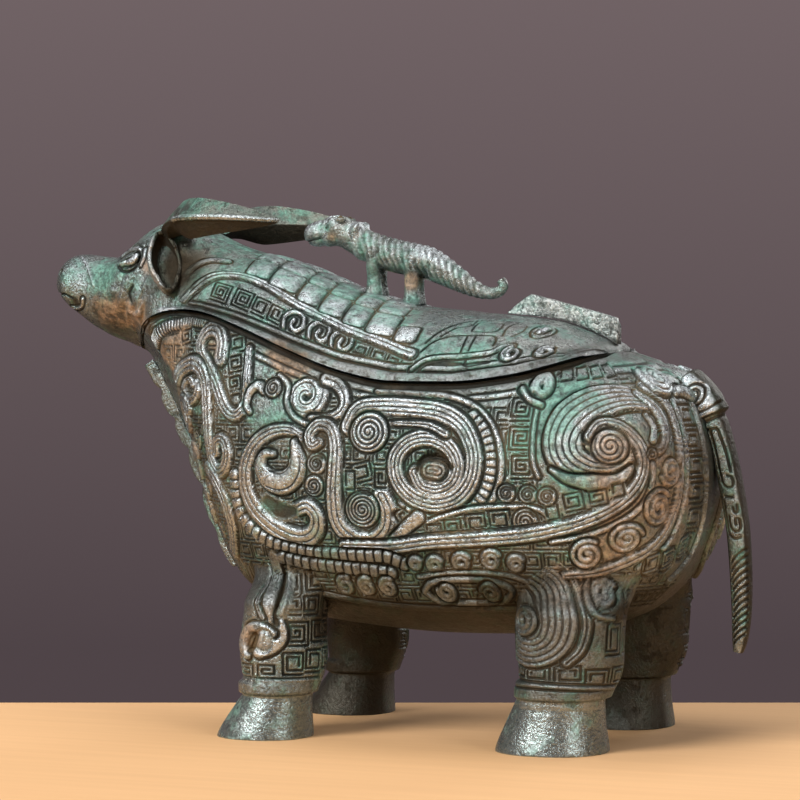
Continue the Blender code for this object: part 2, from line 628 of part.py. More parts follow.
def chest_outline():
    """Notched outer edge along the chest, and a plain edge inside the form."""
    outer, inner = [], []
    steps = FLANGE_TEETH * 4
    for i in range(steps + 1):
        x = FLANGE_TOP_X + (FLANGE_LOW_X - FLANGE_TOP_X) * i / steps
        way = Vector((1.0, slope(belly, x))).normalized()
        normal = Vector((way.y, -way.x))
        stand = FLANGE_STAND - (1.3 if i % 4 == 0 and 0 < i < steps else 0.0)
        stand *= min(1.0, 0.35 + 0.65 * (steps - i) / 5)
        place = Vector((x, belly(x)))
        outer.append(tuple(place + normal * stand))
        inner.append(tuple(place - normal * PLATE_DEPTH))
    return outer + inner[::-1]


def crest_outline():
    """Slanting top edge of the crest, and its foot inside the lid."""
    foot = [(x, back(x) - 1.6) for x in spread(CREST_LINE[-1][0], CREST_LINE[0][0], 8)]
    return list(CREST_LINE[:-1]) + foot


def build():
    for piece in list(bpy.data.objects):
        bpy.data.objects.remove(piece, do_unlink=True)
    vessel = anchor("vessel", (0.0, 0.0, 0.0))
    lid_lift = anchor("lid_lift", (0.0, 0.0, parting(0.0) * MM))
    envelope = make_envelope()

    combine(make_vessel(vessel), make_scrolls(), "UNION")
    for name, rings, place in (("front", FRONT_LEG, FRONT_LEG_PLACE), ("hind", HIND_LEG, HIND_LEG_PLACE)):
        make_leg(name + "_left_leg", rings, place, -1, vessel, envelope)
        make_leg(name + "_right_leg", rings, place, 1, vessel, envelope)
    make_tail(vessel, envelope)
    make_plate("chest_flange", chest_outline(), FLANGE_THICKNESS, vessel, envelope, DARK_GREEN)

    make_lid(lid_lift)
    for side, name in ((-1, "left"), (1, "right")):
        make_horn(name + "_horn", side, lid_lift, envelope)
        make_ear(name + "_ear", side, lid_lift, envelope)
    make_tiger(lid_lift, envelope)
    make_plate("lid_crest", crest_outline(), CREST_THICKNESS, lid_lift, envelope, GREY)


build()
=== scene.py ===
import bpy
import math
import numpy as np
from mathutils import Matrix, Vector


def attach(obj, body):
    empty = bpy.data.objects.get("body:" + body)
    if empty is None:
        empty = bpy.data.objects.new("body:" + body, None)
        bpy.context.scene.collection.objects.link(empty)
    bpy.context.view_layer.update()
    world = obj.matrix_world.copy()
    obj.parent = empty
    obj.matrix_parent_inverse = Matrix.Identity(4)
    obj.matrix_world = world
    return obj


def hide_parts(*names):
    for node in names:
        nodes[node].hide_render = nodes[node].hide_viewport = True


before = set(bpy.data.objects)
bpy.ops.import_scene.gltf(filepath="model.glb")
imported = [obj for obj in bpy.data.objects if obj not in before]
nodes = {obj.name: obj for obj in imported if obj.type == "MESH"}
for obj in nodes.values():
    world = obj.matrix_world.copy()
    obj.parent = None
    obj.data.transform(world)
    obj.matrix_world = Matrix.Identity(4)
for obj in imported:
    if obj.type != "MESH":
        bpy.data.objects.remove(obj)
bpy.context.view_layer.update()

MM, TO_MM = 0.001, 1000

# Parting line of lid and vessel, and the lid's half width along it, as (x, value) in millimetres
RIM_LINE = ((-78, 87), (-70.5, 96.4), (-66, 100.2), (-58, 104.2), (-50, 105.6), (-43, 105), (-30, 101.3),
            (-14, 95.2), (0, 90.5), (15, 87.7), (30, 87.6), (45, 89.3), (55, 92.2), (62.4, 95.3), (70, 99))
LID_HALF_WIDTH = ((-70, 5), (-60, 17), (-50, 22), (-43, 25), (-30, 30), (-14, 33), (0, 35), (15, 36),
                  (30, 36), (45, 32), (55, 27), (62, 5))

# Outlines of the body along its length, as (x, value)
BELLY_LINE = ((-95, 110), (-90, 106.8), (-84, 102.5), (-78, 98.7), (-73, 97), (-69, 95.4), (-66, 91.5),
              (-63, 86), (-55, 70.5), (-49.5, 57), (-46, 46.5), (-43, 40), (-38, 35), (-28, 30.5),
              (-10, 27), (20, 25), (50, 26), (66, 30.5), (78, 40), (86, 48))
BACK_LINE = ((-95, 119.8), (-88, 121.2), (-77, 120.2), (-74, 121), (-66, 127.4), (-61, 129.8),
             (-54, 128.2), (-41, 122.4), (-25, 118), (-8, 111.2), (10, 106.8), (30, 104.9), (46, 101.4),
             (55, 98.2), (62.4, 95.3), (70, 92.8), (78, 89.5), (86, 83.5))
PLAN_LINE = ((-95, 8.6), (-88, 10.6), (-82, 10.8), (-74, 14), (-62, 17.8), (-49, 23), (-30, 33.8),
             (-10, 39.6), (10, 42.2), (40, 43), (60, 41.3), (70, 38), (78, 34.5), (86, 30))
WIDEST_LINE = ((-95, 113.5), (-82, 110.5), (-66, 107), (-56, 100), (-41, 80), (-10, 66), (40, 64), (86, 67))
KEEL_LINE = ((-95, 0.86), (-80, 1), (-72, 1.6), (-66, 1.9), (-56, 1.75), (-46, 1.55), (-32, 1.05),
             (-15, 0.86), (86, 0.86))
# Shoulder and haunch: x, z, radius and rise
SWELLINGS = ((-13, 70, 19, 1.6), (67, 72, 17, 1.4))
# Ends of the parting line, and the rounded rump
LIP_X, HEEL_X = -70.7, 62.4
RUMP_X, RUMP_ROUND, SQUARENESS = 85.5, 10.0, 0.86
# The flank turns round the rump and round the chest
REAR_TURN_X, REAR_TURN_RADIUS = 50, 42
FRONT_TURN_X, FRONT_TURN_RADIUS = -30, 34
# The lid rolls out round a line below its rim
LID_CENTRE_DROP, LID_GIRTH = 12, 38
# Leg middles, and the height of the collar ring and of the hoof
FRONT_LEG_X, HIND_LEG_X, LEG_Y, LEG_RADIUS = -17.0, 57.5, 24, 11.5
COLLAR_Z, HOOF_Z = 14, 12


def curve_through(line):
    """Smooth curve through (x, value) points that never overshoots them."""
    xs, values = np.array(line, float).T
    steps = np.diff(values) / np.diff(xs)
    same_way = steps[:-1] * steps[1:] > 0
    both = np.where(same_way, steps[:-1] + steps[1:], 1)
    between = np.where(same_way, 2 * steps[:-1] * steps[1:] / both, 0)
    slopes = np.concatenate([steps[:1], between, steps[-1:]])

    def value(x):
        i = np.clip(np.searchsorted(xs, x, 'right') - 1, 0, len(xs) - 2)
        span = xs[i + 1] - xs[i]
        t = (x - xs[i]) / span
        return ((1 + 2 * t) * (1 - t) ** 2 * values[i] + t * (1 - t) ** 2 * span * slopes[i]
                + t * t * (3 - 2 * t) * values[i + 1] + t * t * (t - 1) * span * slopes[i + 1])

    return value


belly, back_top, plan = curve_through(BELLY_LINE), curve_through(BACK_LINE), curve_through(PLAN_LINE)
widest, keel, rim = curve_through(WIDEST_LINE), curve_through(KEEL_LINE), curve_through(RIM_LINE)


def body_section(x):
    """Keel level, top level, half width, widest level and keel sharpness of the animal's body at x."""
    x = np.minimum(x, RUMP_X)
    share = np.sqrt(np.clip(1 - (1 - np.clip((RUMP_X - x) / RUMP_ROUND, 0, 1)) ** 2, 0, 1))
    level = widest(x)
    low = level + (belly(x) - level) * share
    high = level + (back_top(x) - level) * share
    return low, high, plan(x) * share, level, keel(x)


def swell(x, z):
    """How far shoulder and haunch swell out."""
    return sum(rise * np.exp(-((x - cx) ** 2 + (z - cz) ** 2) / r ** 2) for cx, cz, r, rise in SWELLINGS)


def body_point(x, angle):
    """Half width and height of the body at x, at an angle from -90 degrees at the keel to 90 on top."""
    low, high, half, level, sharp = body_section(x)
    upper = angle > 0
    power = np.where(upper, SQUARENESS, sharp)
    z = level + np.where(upper, high - level, low - level) * np.abs(np.sin(angle)) ** power
    y = half * np.clip(np.cos(angle), 0, 1) ** power * (1 + swell(x, z) / plan(x))
    return y, z


def body_angle(x, z):
    """The angle of body_point that gives the height z."""
    low, high, _, level, sharp = body_section(x)
    lift = np.where(z > level, high - level, level - low)
    share = np.clip(np.abs(z - level) / np.maximum(lift, 1e-6), 0, 1)
    share = share ** (1 / np.where(z > level, SQUARENESS, sharp))
    return np.arcsin(share) * np.sign(z - level)


def body_half_width(x, z):
    """Half width of the body at x and height z."""
    return body_point(x, body_angle(x, z))[0]


def along_line(line, x):
    """The value of a table of (x, value) points at x."""
    return np.interp(x, [point[0] for point in line], [point[1] for point in line])


def unroll_flank(points):
    """Length along the flank, rolled out past chest and rump, and the height."""
    x, y, z = points.T
    wide = np.abs(y)
    along = x.copy()
    rear = x > REAR_TURN_X
    along[rear] = REAR_TURN_X + REAR_TURN_RADIUS * np.arctan2(x[rear] - REAR_TURN_X, wide[rear])
    front = x < FRONT_TURN_X
    along[front] = FRONT_TURN_X - FRONT_TURN_RADIUS * np.arctan2(FRONT_TURN_X - x[front], wide[front])
    return along, z


def unroll_lid(points):
    """Length along the lid, and the way up from its rim to the spine."""
    x, y, z = points.T
    lean = np.arctan2(z - along_line(RIM_LINE, x) + LID_CENTRE_DROP, np.abs(y))
    rim_lean = np.arctan2(LID_CENTRE_DROP, along_line(LID_HALF_WIDTH, x))
    return x, LID_GIRTH * (lean - rim_lean) / (math.pi / 2 - rim_lean)


def unroll_leg(points, middle):
    """Length round a leg from its outer side, and the height."""
    x, y, z = points.T
    return middle + LEG_RADIUS * np.arctan2(x - middle, np.abs(y) - LEG_Y), z


# Wax sheets: the ornament is cut and laid on a flat sheet first

# Smallest step of a sheet, spacing of the lines in a fret, and rounding of a cushion's corners
GRAIN, FRET_PITCH, CUSHION_CORNER = 0.12, 1.05, 1.3
# A band's sloping side, the cuts between its ridges, and the sunk border along it
BAND_SLOPE, RIDGE_CUT, RIDGE_GAP, MOAT_OFF, MOAT_HALF = 0.6, 0.28, 0.27, 0.35, 0.5


def ease(t):
    """A soft step from 0 to 1."""
    t = np.clip(t, 0, 1)
    return t * t * (3 - 2 * t)


def through(*points):
    """A smooth line through the given points."""
    p = np.array(points, float)
    p = np.vstack([2 * p[0] - p[1], p, 2 * p[-1] - p[-2]])
    drawn = []
    for a, b, c, d in zip(p[:-3], p[1:-2], p[2:-1], p[3:]):
        t = np.linspace(0, 1, max(3, int(np.hypot(*(c - b)) / 0.6)), endpoint=False)[:, None]
        drawn.append(0.5 * (2 * b + (c - a) * t + (2 * a - 5 * b + 4 * c - d) * t ** 2
                            + (3 * b - a - 3 * c + d) * t ** 3))
    return np.vstack(drawn + [p[-2:-1]])


def coil(x, z, outer, inner, turns, start, squash=1.0):
    """A round spiral from its outer end inwards."""
    t = np.linspace(0, 1, int(36 * abs(turns)) + 2)
    ring = outer + (inner - outer) * t
    turned = math.radians(start) + math.tau * turns * t
    return np.stack([x + ring * np.cos(turned), z + squash * ring * np.sin(turned)], -1)


def meander(x, z, width, height, hand=1, tilt=0.0, pitch=1.2):
    """A squared spiral from its outer corner inwards."""
    left, right, low, high = -width / 2, width / 2, -height / 2, height / 2
    points = [(left, low)]
    while right - left > 0.7 * pitch and high - low > 0.7 * pitch:
        points += [(right, low), (right, high), (left, high), (left, low + pitch)]
        left, right, low, high = left + pitch, right - pitch, low + pitch, high - pitch
    p = np.array(points) * (hand, 1)
    c, s = math.cos(math.radians(tilt)), math.sin(math.radians(tilt))
    return np.stack([x + c * p[:, 0] - s * p[:, 1], z + s * p[:, 0] + c * p[:, 1]], -1)


def dot(x, z, half=0.01):
    """A line so short that a band along it comes out round."""
    return np.array([(x - half, z), (x + half, z)])


class Wax:
    """A flat sheet, worked in millimetres: its height, and how far off the nearest cut is."""

    def __init__(self, left, right, bottom, top):
        self.left, self.bottom = left, bottom
        self.height = np.zeros((int((top - bottom) / GRAIN) + 1, int((right - left) / GRAIN) + 1))
        self.edge = np.ones_like(self.height)

    def span(self, low, high, start, count):
        """First and last grain between two places."""
        first = int(np.clip((low - start) / GRAIN, 0, count - 1))
        return first, int(np.clip((high - start) / GRAIN + 2, first + 1, count))

    def measure(self, path, reach):
        """How far the sheet lies from a drawn line, and how far along the line, from 0 to 1."""
        path = np.asarray(path, float)
        rows, columns = self.height.shape
        low, high = path.min(0) - reach, path.max(0) + reach
        c0, c1 = self.span(low[0], high[0], self.left, columns)
        r0, r1 = self.span(low[1], high[1], self.bottom, rows)
        away = np.full((r1 - r0, c1 - c0), float(reach))
        along = np.zeros_like(away)
        run = 0.0
        for a, b in zip(path[:-1], path[1:]):
            step = b - a
            length = max(1e-6, math.hypot(*step))
            i0, i1 = self.span(min(a[0], b[0]) - reach, max(a[0], b[0]) + reach, self.left, columns)
            j0, j1 = self.span(min(a[1], b[1]) - reach, max(a[1], b[1]) + reach, self.bottom, rows)
            u = (self.left + GRAIN * np.arange(i0, i1) - a[0])[None, :]
            v = (self.bottom + GRAIN * np.arange(j0, j1) - a[1])[:, None]
            t = np.clip((u * step[0] + v * step[1]) / length ** 2, 0, 1)
            d = np.hypot(u - t * step[0], v - t * step[1])
            window = (slice(j0 - r0, j1 - r0), slice(i0 - c0, i1 - c0))
            nearer = d < away[window]
            away[window][nearer] = d[nearer]
            along[window][nearer] = (run + t * length)[nearer]
            run += length
        return (slice(r0, r1), slice(c0, c1)), away, along / max(run, 1e-6)

    def cut(self, path, half=0.42, depth=0.45):
        """A narrow engraved line."""
        where, away, _ = self.measure(path, half + 0.9)
        self.height[where] -= depth * np.clip(1 - (away / half) ** 2, 0, 1)
        self.edge[where] = np.minimum(self.edge[where], away - 0.5 * half)

    def lay(self, path, half, rise, ridges=1, moat=0.4, dome=0.0):
        """A raised band over what is there, parted into ridges by engraved lines, with a sunk border."""
        halves = np.atleast_1d(half)
        where, away, along = self.measure(path, halves.max() + 1.2)
        half = np.interp(along, np.linspace(0, 1, len(halves)), halves)
        top = rise * ease((half - away) / BAND_SLOPE + 0.3)
        top *= np.sqrt(np.clip(1 - dome * (away / half) ** 2, 0.05, 1))
        edge = np.ones_like(away)
        if ridges > 1:
            width = 2 * half / ridges
            line = np.abs((away / width - 0.5 * (ridges % 2) + 0.5) % 1 - 0.5) * width
            gap = np.minimum(RIDGE_GAP, 0.28 * width)
            top -= RIDGE_CUT * np.clip(1 - (line / gap) ** 2, 0, 1) * (away < half)
            edge = np.where(away < half, line - 0.5 * gap, 1)
        if moat:
            off = np.abs(away - half - MOAT_OFF)
            top -= moat * np.clip(1 - off / MOAT_HALF, 0, 1)
            edge = np.minimum(edge, off - 0.2)
        over = ease((half + 1.0 - away) / 0.45)
        self.height[where] += over * (top - self.height[where])
        self.edge[where] = np.where(away < half + 0.8, edge, np.minimum(self.edge[where], edge))

    def fret(self, x, z, width, height, hand=1, tilt=0.0, depth=0.5):
        """A squared spiral on a patch that is scraped flat first."""
        where, _, _ = self.measure(dot(x, z), max(width, height) / 2 + 0.4)
        rows, columns = np.mgrid[where]
        u, v = self.left + GRAIN * columns - x, self.bottom + GRAIN * rows - z
        c, s = math.cos(math.radians(tilt)), math.sin(math.radians(tilt))
        patch = (np.abs(c * u + s * v) < width / 2 + 0.55) & (np.abs(c * v - s * u) < height / 2 + 0.55)
        self.height[where] = np.where(patch, 0.0, self.height[where])
        self.edge[where] = np.where(patch, 1.0, self.edge[where])
        self.cut(meander(x, z, width, height, hand, tilt, FRET_PITCH), 0.36, depth)

    def tile(self, x, z, width, height, lean=0.0, rise=0.5):
        """A low cushion with rounded corners and a cut all round it."""
        where, _, _ = self.measure(dot(x, z), max(width, height) / 2 + 1.6)
        rows, columns = np.mgrid[where]
        v = self.bottom + GRAIN * rows - z
        u = self.left + GRAIN * columns - x - lean * v
        over = np.stack([np.abs(u) - width / 2, np.abs(v) - height / 2]) + CUSHION_CORNER
        inside = CUSHION_CORNER - np.hypot(*np.maximum(over, 0)) - np.minimum(over.max(0), 0)
        top = rise * ease(inside / 2.2 + 0.15) - 0.5 * np.clip(1 - np.abs(inside + 0.1) / 0.5, 0, 1)
        self.height[where] = np.where(inside > -0.5, top, self.height[where])
        self.edge[where] = np.where(inside > -0.5, np.abs(inside + 0.1) - 0.22, self.edge[where])

    def fade(self, x, z, radius, share):
        """Ornament worn and filled over a round area."""
        where, away, _ = self.measure(dot(x, z), radius)
        keep = 1 - share * ease((radius - away) / (0.5 * radius))
        self.height[where] *= keep
        self.edge[where] = 1 - (1 - self.edge[where]) * keep

    def sink(self, x, z, radius, depth):
        """A dished hollow."""
        where, away, _ = self.measure(dot(x, z), radius)
        self.height[where] -= depth * np.clip(1 - (away / radius) ** 2, 0, 1)

    def disc(self, x, z, radius, turns, start=0.0, rise=0.45, squash=1.0):
        """A small raised round with a spiral cut in it."""
        self.lay(dot(x, z), radius, rise, dome=0.5)
        self.cut(coil(x, z, radius - 0.35, 0.35, turns, start, squash))

    def frets(self, path, spacing, half, depth=0.45):
        """Short cuts across a band."""
        path = np.asarray(path, float)
        runs = np.concatenate([[0], np.cumsum(np.hypot(*np.diff(path, axis=0).T))])
        for run in np.arange(spacing / 2, runs[-1], spacing):
            here, ahead = [np.array([np.interp(at, runs, path[:, axis]) for axis in (0, 1)])
                           for at in (run, run + 0.3)]
            across = (ahead - here)[::-1] * (-1, 1)
            across *= half / max(1e-6, np.hypot(*across))
            self.cut(np.array([here - across, here + across]), 0.36, depth)

    def read(self, along, up):
        """Height and distance from the nearest cut, at places on the sheet."""
        rows, columns = self.height.shape
        c = np.clip((along - self.left) / GRAIN, 0, columns - 1.001)
        r = np.clip((up - self.bottom) / GRAIN, 0, rows - 1.001)
        i, j = c.astype(int), r.astype(int)
        c, r = c - i, r - j
        return [(h[j, i] * (1 - c) + h[j, i + 1] * c) * (1 - r)
                + (h[j + 1, i] * (1 - c) + h[j + 1, i + 1] * c) * r for h in (self.height, self.edge)]


def thunder_ground(sheet):
    """Squared spirals all over the flank, scraped off where larger ornament follows."""
    for row, z in enumerate(np.arange(36, 104, 4.9)):
        for column, x in enumerate(np.arange(-58 + 2.5 * (row % 2), 105, 5.0)):
            if z < along_line(RIM_LINE, min(x, 62)) - 5:
                sheet.cut(meander(x, z, 4.2, 4.0, (-1) ** (row + column), pitch=FRET_PITCH), 0.34, 0.32)
    sheet.lay(through((68, 74), (74, 66), (80, 60)), 15.5, 0.0, moat=0)
    sheet.lay(through((92, 84), (92, 62), (84, 50)), 7, 0.0, moat=0)
    sheet.fade(-15, 80.5, 10, 0.95)
    sheet.fade(-19, 92, 8, 0.95)
    sheet.fade(8, 87.5, 6, 0.6)


def rim_border(sheet):
    """Plain border and line under the rim, roped along the spout."""
    edge = [(x, along_line(RIM_LINE, x)) for x in np.arange(-66, 63, 4.0)]
    edge += [(75, 95), (90, 95.5), (104, 96)]
    sheet.lay(through(*[(x, z - 1.5) for x, z in edge]), 1.6, 0.15, moat=0.2)
    sheet.lay(through(*[(x, z - 4.1) for x, z in edge]), 0.5, 0.25, moat=0.25)
    spout = through(*[(x, z - 2.6) for x, z in edge[:8]])
    sheet.lay(spout, (1.7, 1.0), 0.5, dome=0.3)
    sheet.frets(spout, 1.0, 1.6, 0.16)


def neck_bands(sheet):
    """Two hooked bands, with a panel of small frets between them."""
    for x, z, size, hand in ((-28.6, 97.4, 4.4, 1), (-28.8, 92.2, 4.0, -1), (-28.0, 87.4, 3.4, 1),
                             (-27.4, 83.4, 2.6, -1), (-50.5, 99, 3.6, 1)):
        sheet.lay(dot(x, z, 0.2), size / 2 + 0.3, 0.15, moat=0)
        sheet.fret(x, z, size, size, hand, 12, depth=0.45)
    sheet.lay(through((-33.6, 93.8), (-33.8, 97.6), (-36.4, 100.6), (-40.6, 100.6), (-43.2, 97.6),
                      (-42.0, 94.4), (-38.4, 91.6), (-35, 88.2), (-32.4, 84.4), (-30.2, 81.2),
                      (-27.4, 79.6), (-25, 80.8), (-24, 84), (-24.2, 90), (-24.8, 96)), (2.2, 2.0, 0.9),
              0.85, ridges=3, dome=0.55)
    sheet.lay(through((-45.2, 87), (-47, 88.6), (-49.6, 87.2), (-49.4, 84.4), (-46, 83), (-43.2, 84.6),
                      (-42.4, 88)), (1.0, 1.5), 0.85, ridges=2, dome=0.4)
    sheet.lay(through((-54, 88.5), (-50.4, 91.2), (-45.6, 92.2), (-41.2, 90.4), (-38.6, 86), (-37.6, 79.4),
                      (-37, 72.4), (-36, 68), (-33.4, 65.6), (-30.4, 67), (-29.4, 70.6), (-31, 73.6),
                      (-33.6, 73), (-33.8, 70.4)), (2.2, 2.1, 1.4), 0.9, ridges=3, dome=0.5)


def chest_scrolls(sheet):
    """Scrolls and rounds down the chest."""
    for z, lean in ((79, 20), (67, 30), (56, 40)):
        sheet.lay(coil(-53, z, 5.0, 1.2, 1.6, lean), (1.6, 0.9), 0.75, ridges=2, dome=0.3)
        sheet.disc(-45.5, z - 5.5, 2.6, 2.2, lean)
    sheet.lay(through((-40, 66), (-35.6, 62.6), (-32.6, 58), (-31.6, 52), (-34, 47), (-38, 45)), 2.2, 0.7,
              ridges=3, dome=0.3)


def shoulder_crescent(sheet):
    """The great crescent, the comma in it and the rounds beside them."""
    sheet.lay(through((-5.4, 73.8), (-9.6, 76.2), (-15.4, 75.6), (-20.4, 72.4), (-23.2, 67), (-23.2, 61.4),
                      (-20.6, 56.6), (-16.2, 53), (-11.2, 50.6), (-6.6, 50.2), (-3.4, 52.2), (-2.8, 55.6),
                      (-5, 58), (-8, 57.2)), (1.0, 1.8, 2.2, 2.5, 2.4, 1.7), 1.0, ridges=3, dome=0.5)
    sheet.lay(through((-17, 58.6), (-13, 56.4), (-9.6, 56.6)), (1.6, 2.2, 1.2), -0.35, moat=0)
    sheet.lay(through((-8.6, 73.4), (-7.6, 69), (-8.6, 65.4), (-12, 63.4), (-16, 64.2), (-18.4, 67.2),
                      (-17.4, 70.2), (-14.6, 70.4)), (0.9, 2.2, 2.7, 2.9, 2.4, 1.4, 0.8), 1.1, moat=0.6,
              dome=0.75)
    sheet.cut(through((-9.4, 71.4), (-9.2, 68.6), (-10.4, 66.6), (-12.6, 65.6), (-15.2, 66.4)), 0.32, 0.3)
    sheet.cut(through((-6.6, 69.8), (-6.8, 66.2), (-9, 63), (-12.6, 61.8), (-16.4, 62.6)), 0.3, 0.3)
    sheet.lay(coil(-6.4, 84.4, 4.7, 1.0, -1.9, 20), (1.5, 1.0), 0.85, ridges=2, dome=0.3)
    sheet.lay(through((-1.8, 88.6), (1.4, 87.4), (4, 84), (3.4, 80.8), (0, 79.2), (-4.6, 79)), (1.6, 1.0),
              0.7, ridges=2, dome=0.3)
    sheet.lay(through((-15, 89.4), (-12, 87), (-11.8, 83), (-9.4, 79.6), (-5.4, 77.6)), 0.6, 0.5)
    sheet.lay(through((-18.8, 86), (-20.8, 87), (-23, 85.2), (-23.6, 82.2), (-22.6, 80.6)), (1.2, 0.7),
              0.8, dome=0.5)
    sheet.disc(-16.2, 86.4, 2.2, 1.9, 90)
    sheet.disc(-2.4, 68.2, 2.4, 2.2, 40)
    sheet.disc(-3.2, 62.9, 2.4, 2.2, 200)


def hooked_band(sheet):
    """Hooked band with its rolled foot."""
    sheet.lay(through((-1.8, 73.4), (-3.6, 72.6), (-4.4, 75.2), (-2.2, 77.6), (1.2, 76.8), (2.8, 72.6),
                      (2.6, 66), (2.3, 59.5), (3.2, 53.8), (7.0, 50.4), (12, 50), (15.8, 53), (16.6, 57.4),
                      (15, 61)), (1.3, 2.1, 2.3), 1.0, ridges=3, dome=0.5)
    sheet.lay(dot(9.6, 57.4, 0.1), 4.2, 0.3, moat=0.5)
    sheet.cut(coil(9.6, 57.4, 4.0, 0.3, 4.2, 60), 0.36, 0.45)
    for x, z, w, h, hand, tilt in ((9.6, 66.4, 5.0, 4.6, 1, 14), (20, 56, 3.4, 3.6, -1, 30),
                                   (14.4, 65, 3.0, 4.4, -1, 0), (6.6, 64.4, 2.4, 4.4, 1, 0)):
        sheet.fret(x, z, w, h, hand, tilt, depth=0.45)


def great_coil(sheet):
    """A whirl of lines that runs down into its eye, the roll over it and the fretted border."""
    sheet.lay(through((12, 85.8), (22, 85.4), (31, 84.6), (38.4, 81.8), (43.4, 76.4), (45.4, 69.4),
                      (44.2, 62.6), (40.2, 57.4), (34, 54.6), (27, 54.6)), (0.5, 0.8), 0.5)
    fretted = through((37.4, 80), (40.8, 76.2), (42.6, 70), (41.8, 63.6), (38, 58.4), (32.4, 56.4),
                      (25.6, 56.6), (20.4, 59.6))
    sheet.lay(fretted, 1.3, 0.45, moat=0.3)
    sheet.frets(fretted, 1.8, 1.2)
    sheet.lay(through((6.2, 77.4), (8.2, 81.2), (13, 82), (21, 81.8), (29.4, 80.8), (35.2, 77.6),
                      (38.4, 71.6), (38, 65.4), (34.4, 60.8), (28.6, 59.2), (22.8, 60.8), (19, 65),
                      (18.6, 70), (21.6, 73.6), (26.6, 74.8), (31.6, 73), (34.2, 69), (33.2, 64.8),
                      (29.6, 62.8), (25.6, 63.6), (23.8, 66.6)), (2.3, 1.9), 0.75, ridges=4, dome=0.15)
    sheet.lay(through((14.6, 78), (20, 78.2), (26.4, 77.8), (31, 75.8)), (0.5, 1.0), 0.45, ridges=2)
    sheet.sink(28.4, 67.6, 5.0, 0.9)
    sheet.cut(through((24.2, 67.2), (25, 69.6), (28, 70.4), (31, 69.4), (33, 67.8)), 0.8, 0.8)
    sheet.lay(np.array([(27.2, 67.2), (29.4, 67.0)]), 2.0, 0.1, ridges=4, moat=0.5, dome=0.3)
    sheet.lay(dot(11.2, 76.0, 0.1), 4.7, 0.7, moat=0.7, dome=0.4)
    sheet.cut(coil(11.2, 76.0, 4.4, 0.4, 3.6, 150), 0.4, 0.5)


def fret_column(sheet):
    """Fret column and small rolls behind the coil."""
    for x, z, hand in ((49.4, 81.8, 1), (49.6, 75.0, -1), (50.6, 68.2, 1)):
        sheet.lay(dot(x, z, 0.3), 2.9, 0.1, moat=0.3)
        sheet.fret(x, z, 5.4, 5.4, hand, depth=0.5)
    sheet.lay(through((53.4, 86), (52.8, 78), (53, 70), (54.4, 66)), 0.45, 0.4)
    for x, z in ((46.6, 62), (51.8, 61.8), (56.4, 61.4)):
        sheet.disc(x, z, 2.0, 2.0, 30)
    sheet.lay(through((25.6, 54.4), (31, 56.4), (38, 58.2), (46, 58.8), (53.4, 58.6), (56.8, 56.6),
                      (58.8, 54.4)), 0.5, 0.45)
    for x, z, w, h, hand in ((28, 52.8, 3.6, 2.8, -1), (32.8, 53.6, 4.2, 3.8, 1),
                             (38.6, 54.8, 5.0, 4.4, -1), (44.8, 55.6, 5.2, 4.8, 1)):
        sheet.fret(x, z, w, h, hand, 6, depth=0.5)
    sheet.disc(51, 55.4, 2.9, 2.4, 30)
    sheet.lay(through((17.2, 50.4), (20.6, 53.2), (24, 55.8)), (1.1, 1.6), 0.55, dome=0.4)


def haunch_whorl(sheet):
    """The broad whorl round its boss, and the long band that runs out of it."""
    sheet.lay(through((85, 81.8), (80.6, 83.8), (74, 84.2), (66.8, 82.4), (61.8, 78.8), (60.0, 74),
                      (61.6, 69.8), (66, 67.4), (71, 67.4), (75, 69.6)), (1.6, 3.2, 5.2, 4.0, 2.0), 0.85,
              ridges=6, dome=0.15, moat=0.7)
    sheet.lay(through((57.4, 67.8), (61.4, 65.6), (67, 64.8), (72, 65.4), (75.4, 68)), (0.5, 1.9, 0.9),
              0.9, dome=0.5, moat=0.8)
    sheet.lay(through((66.2, 75.4), (68.4, 78), (72, 78.2), (75.6, 76), (78, 71.6), (77.6, 66.2),
                      (74.4, 61.2), (68.4, 57.2), (60, 54.2), (50, 52.2), (38, 51), (26, 50), (16, 48.6),
                      (4, 48.4)), (1.3, 1.8, 1.6), 0.95, ridges=3, dome=0.2)
    sheet.lay(dot(70.8, 73.2, 0.1), 3.9, 0.75, moat=0.5, dome=0.55)
    sheet.cut(coil(70.8, 73.2, 3.6, 0.4, 2.6, 150), 0.36, 0.35)


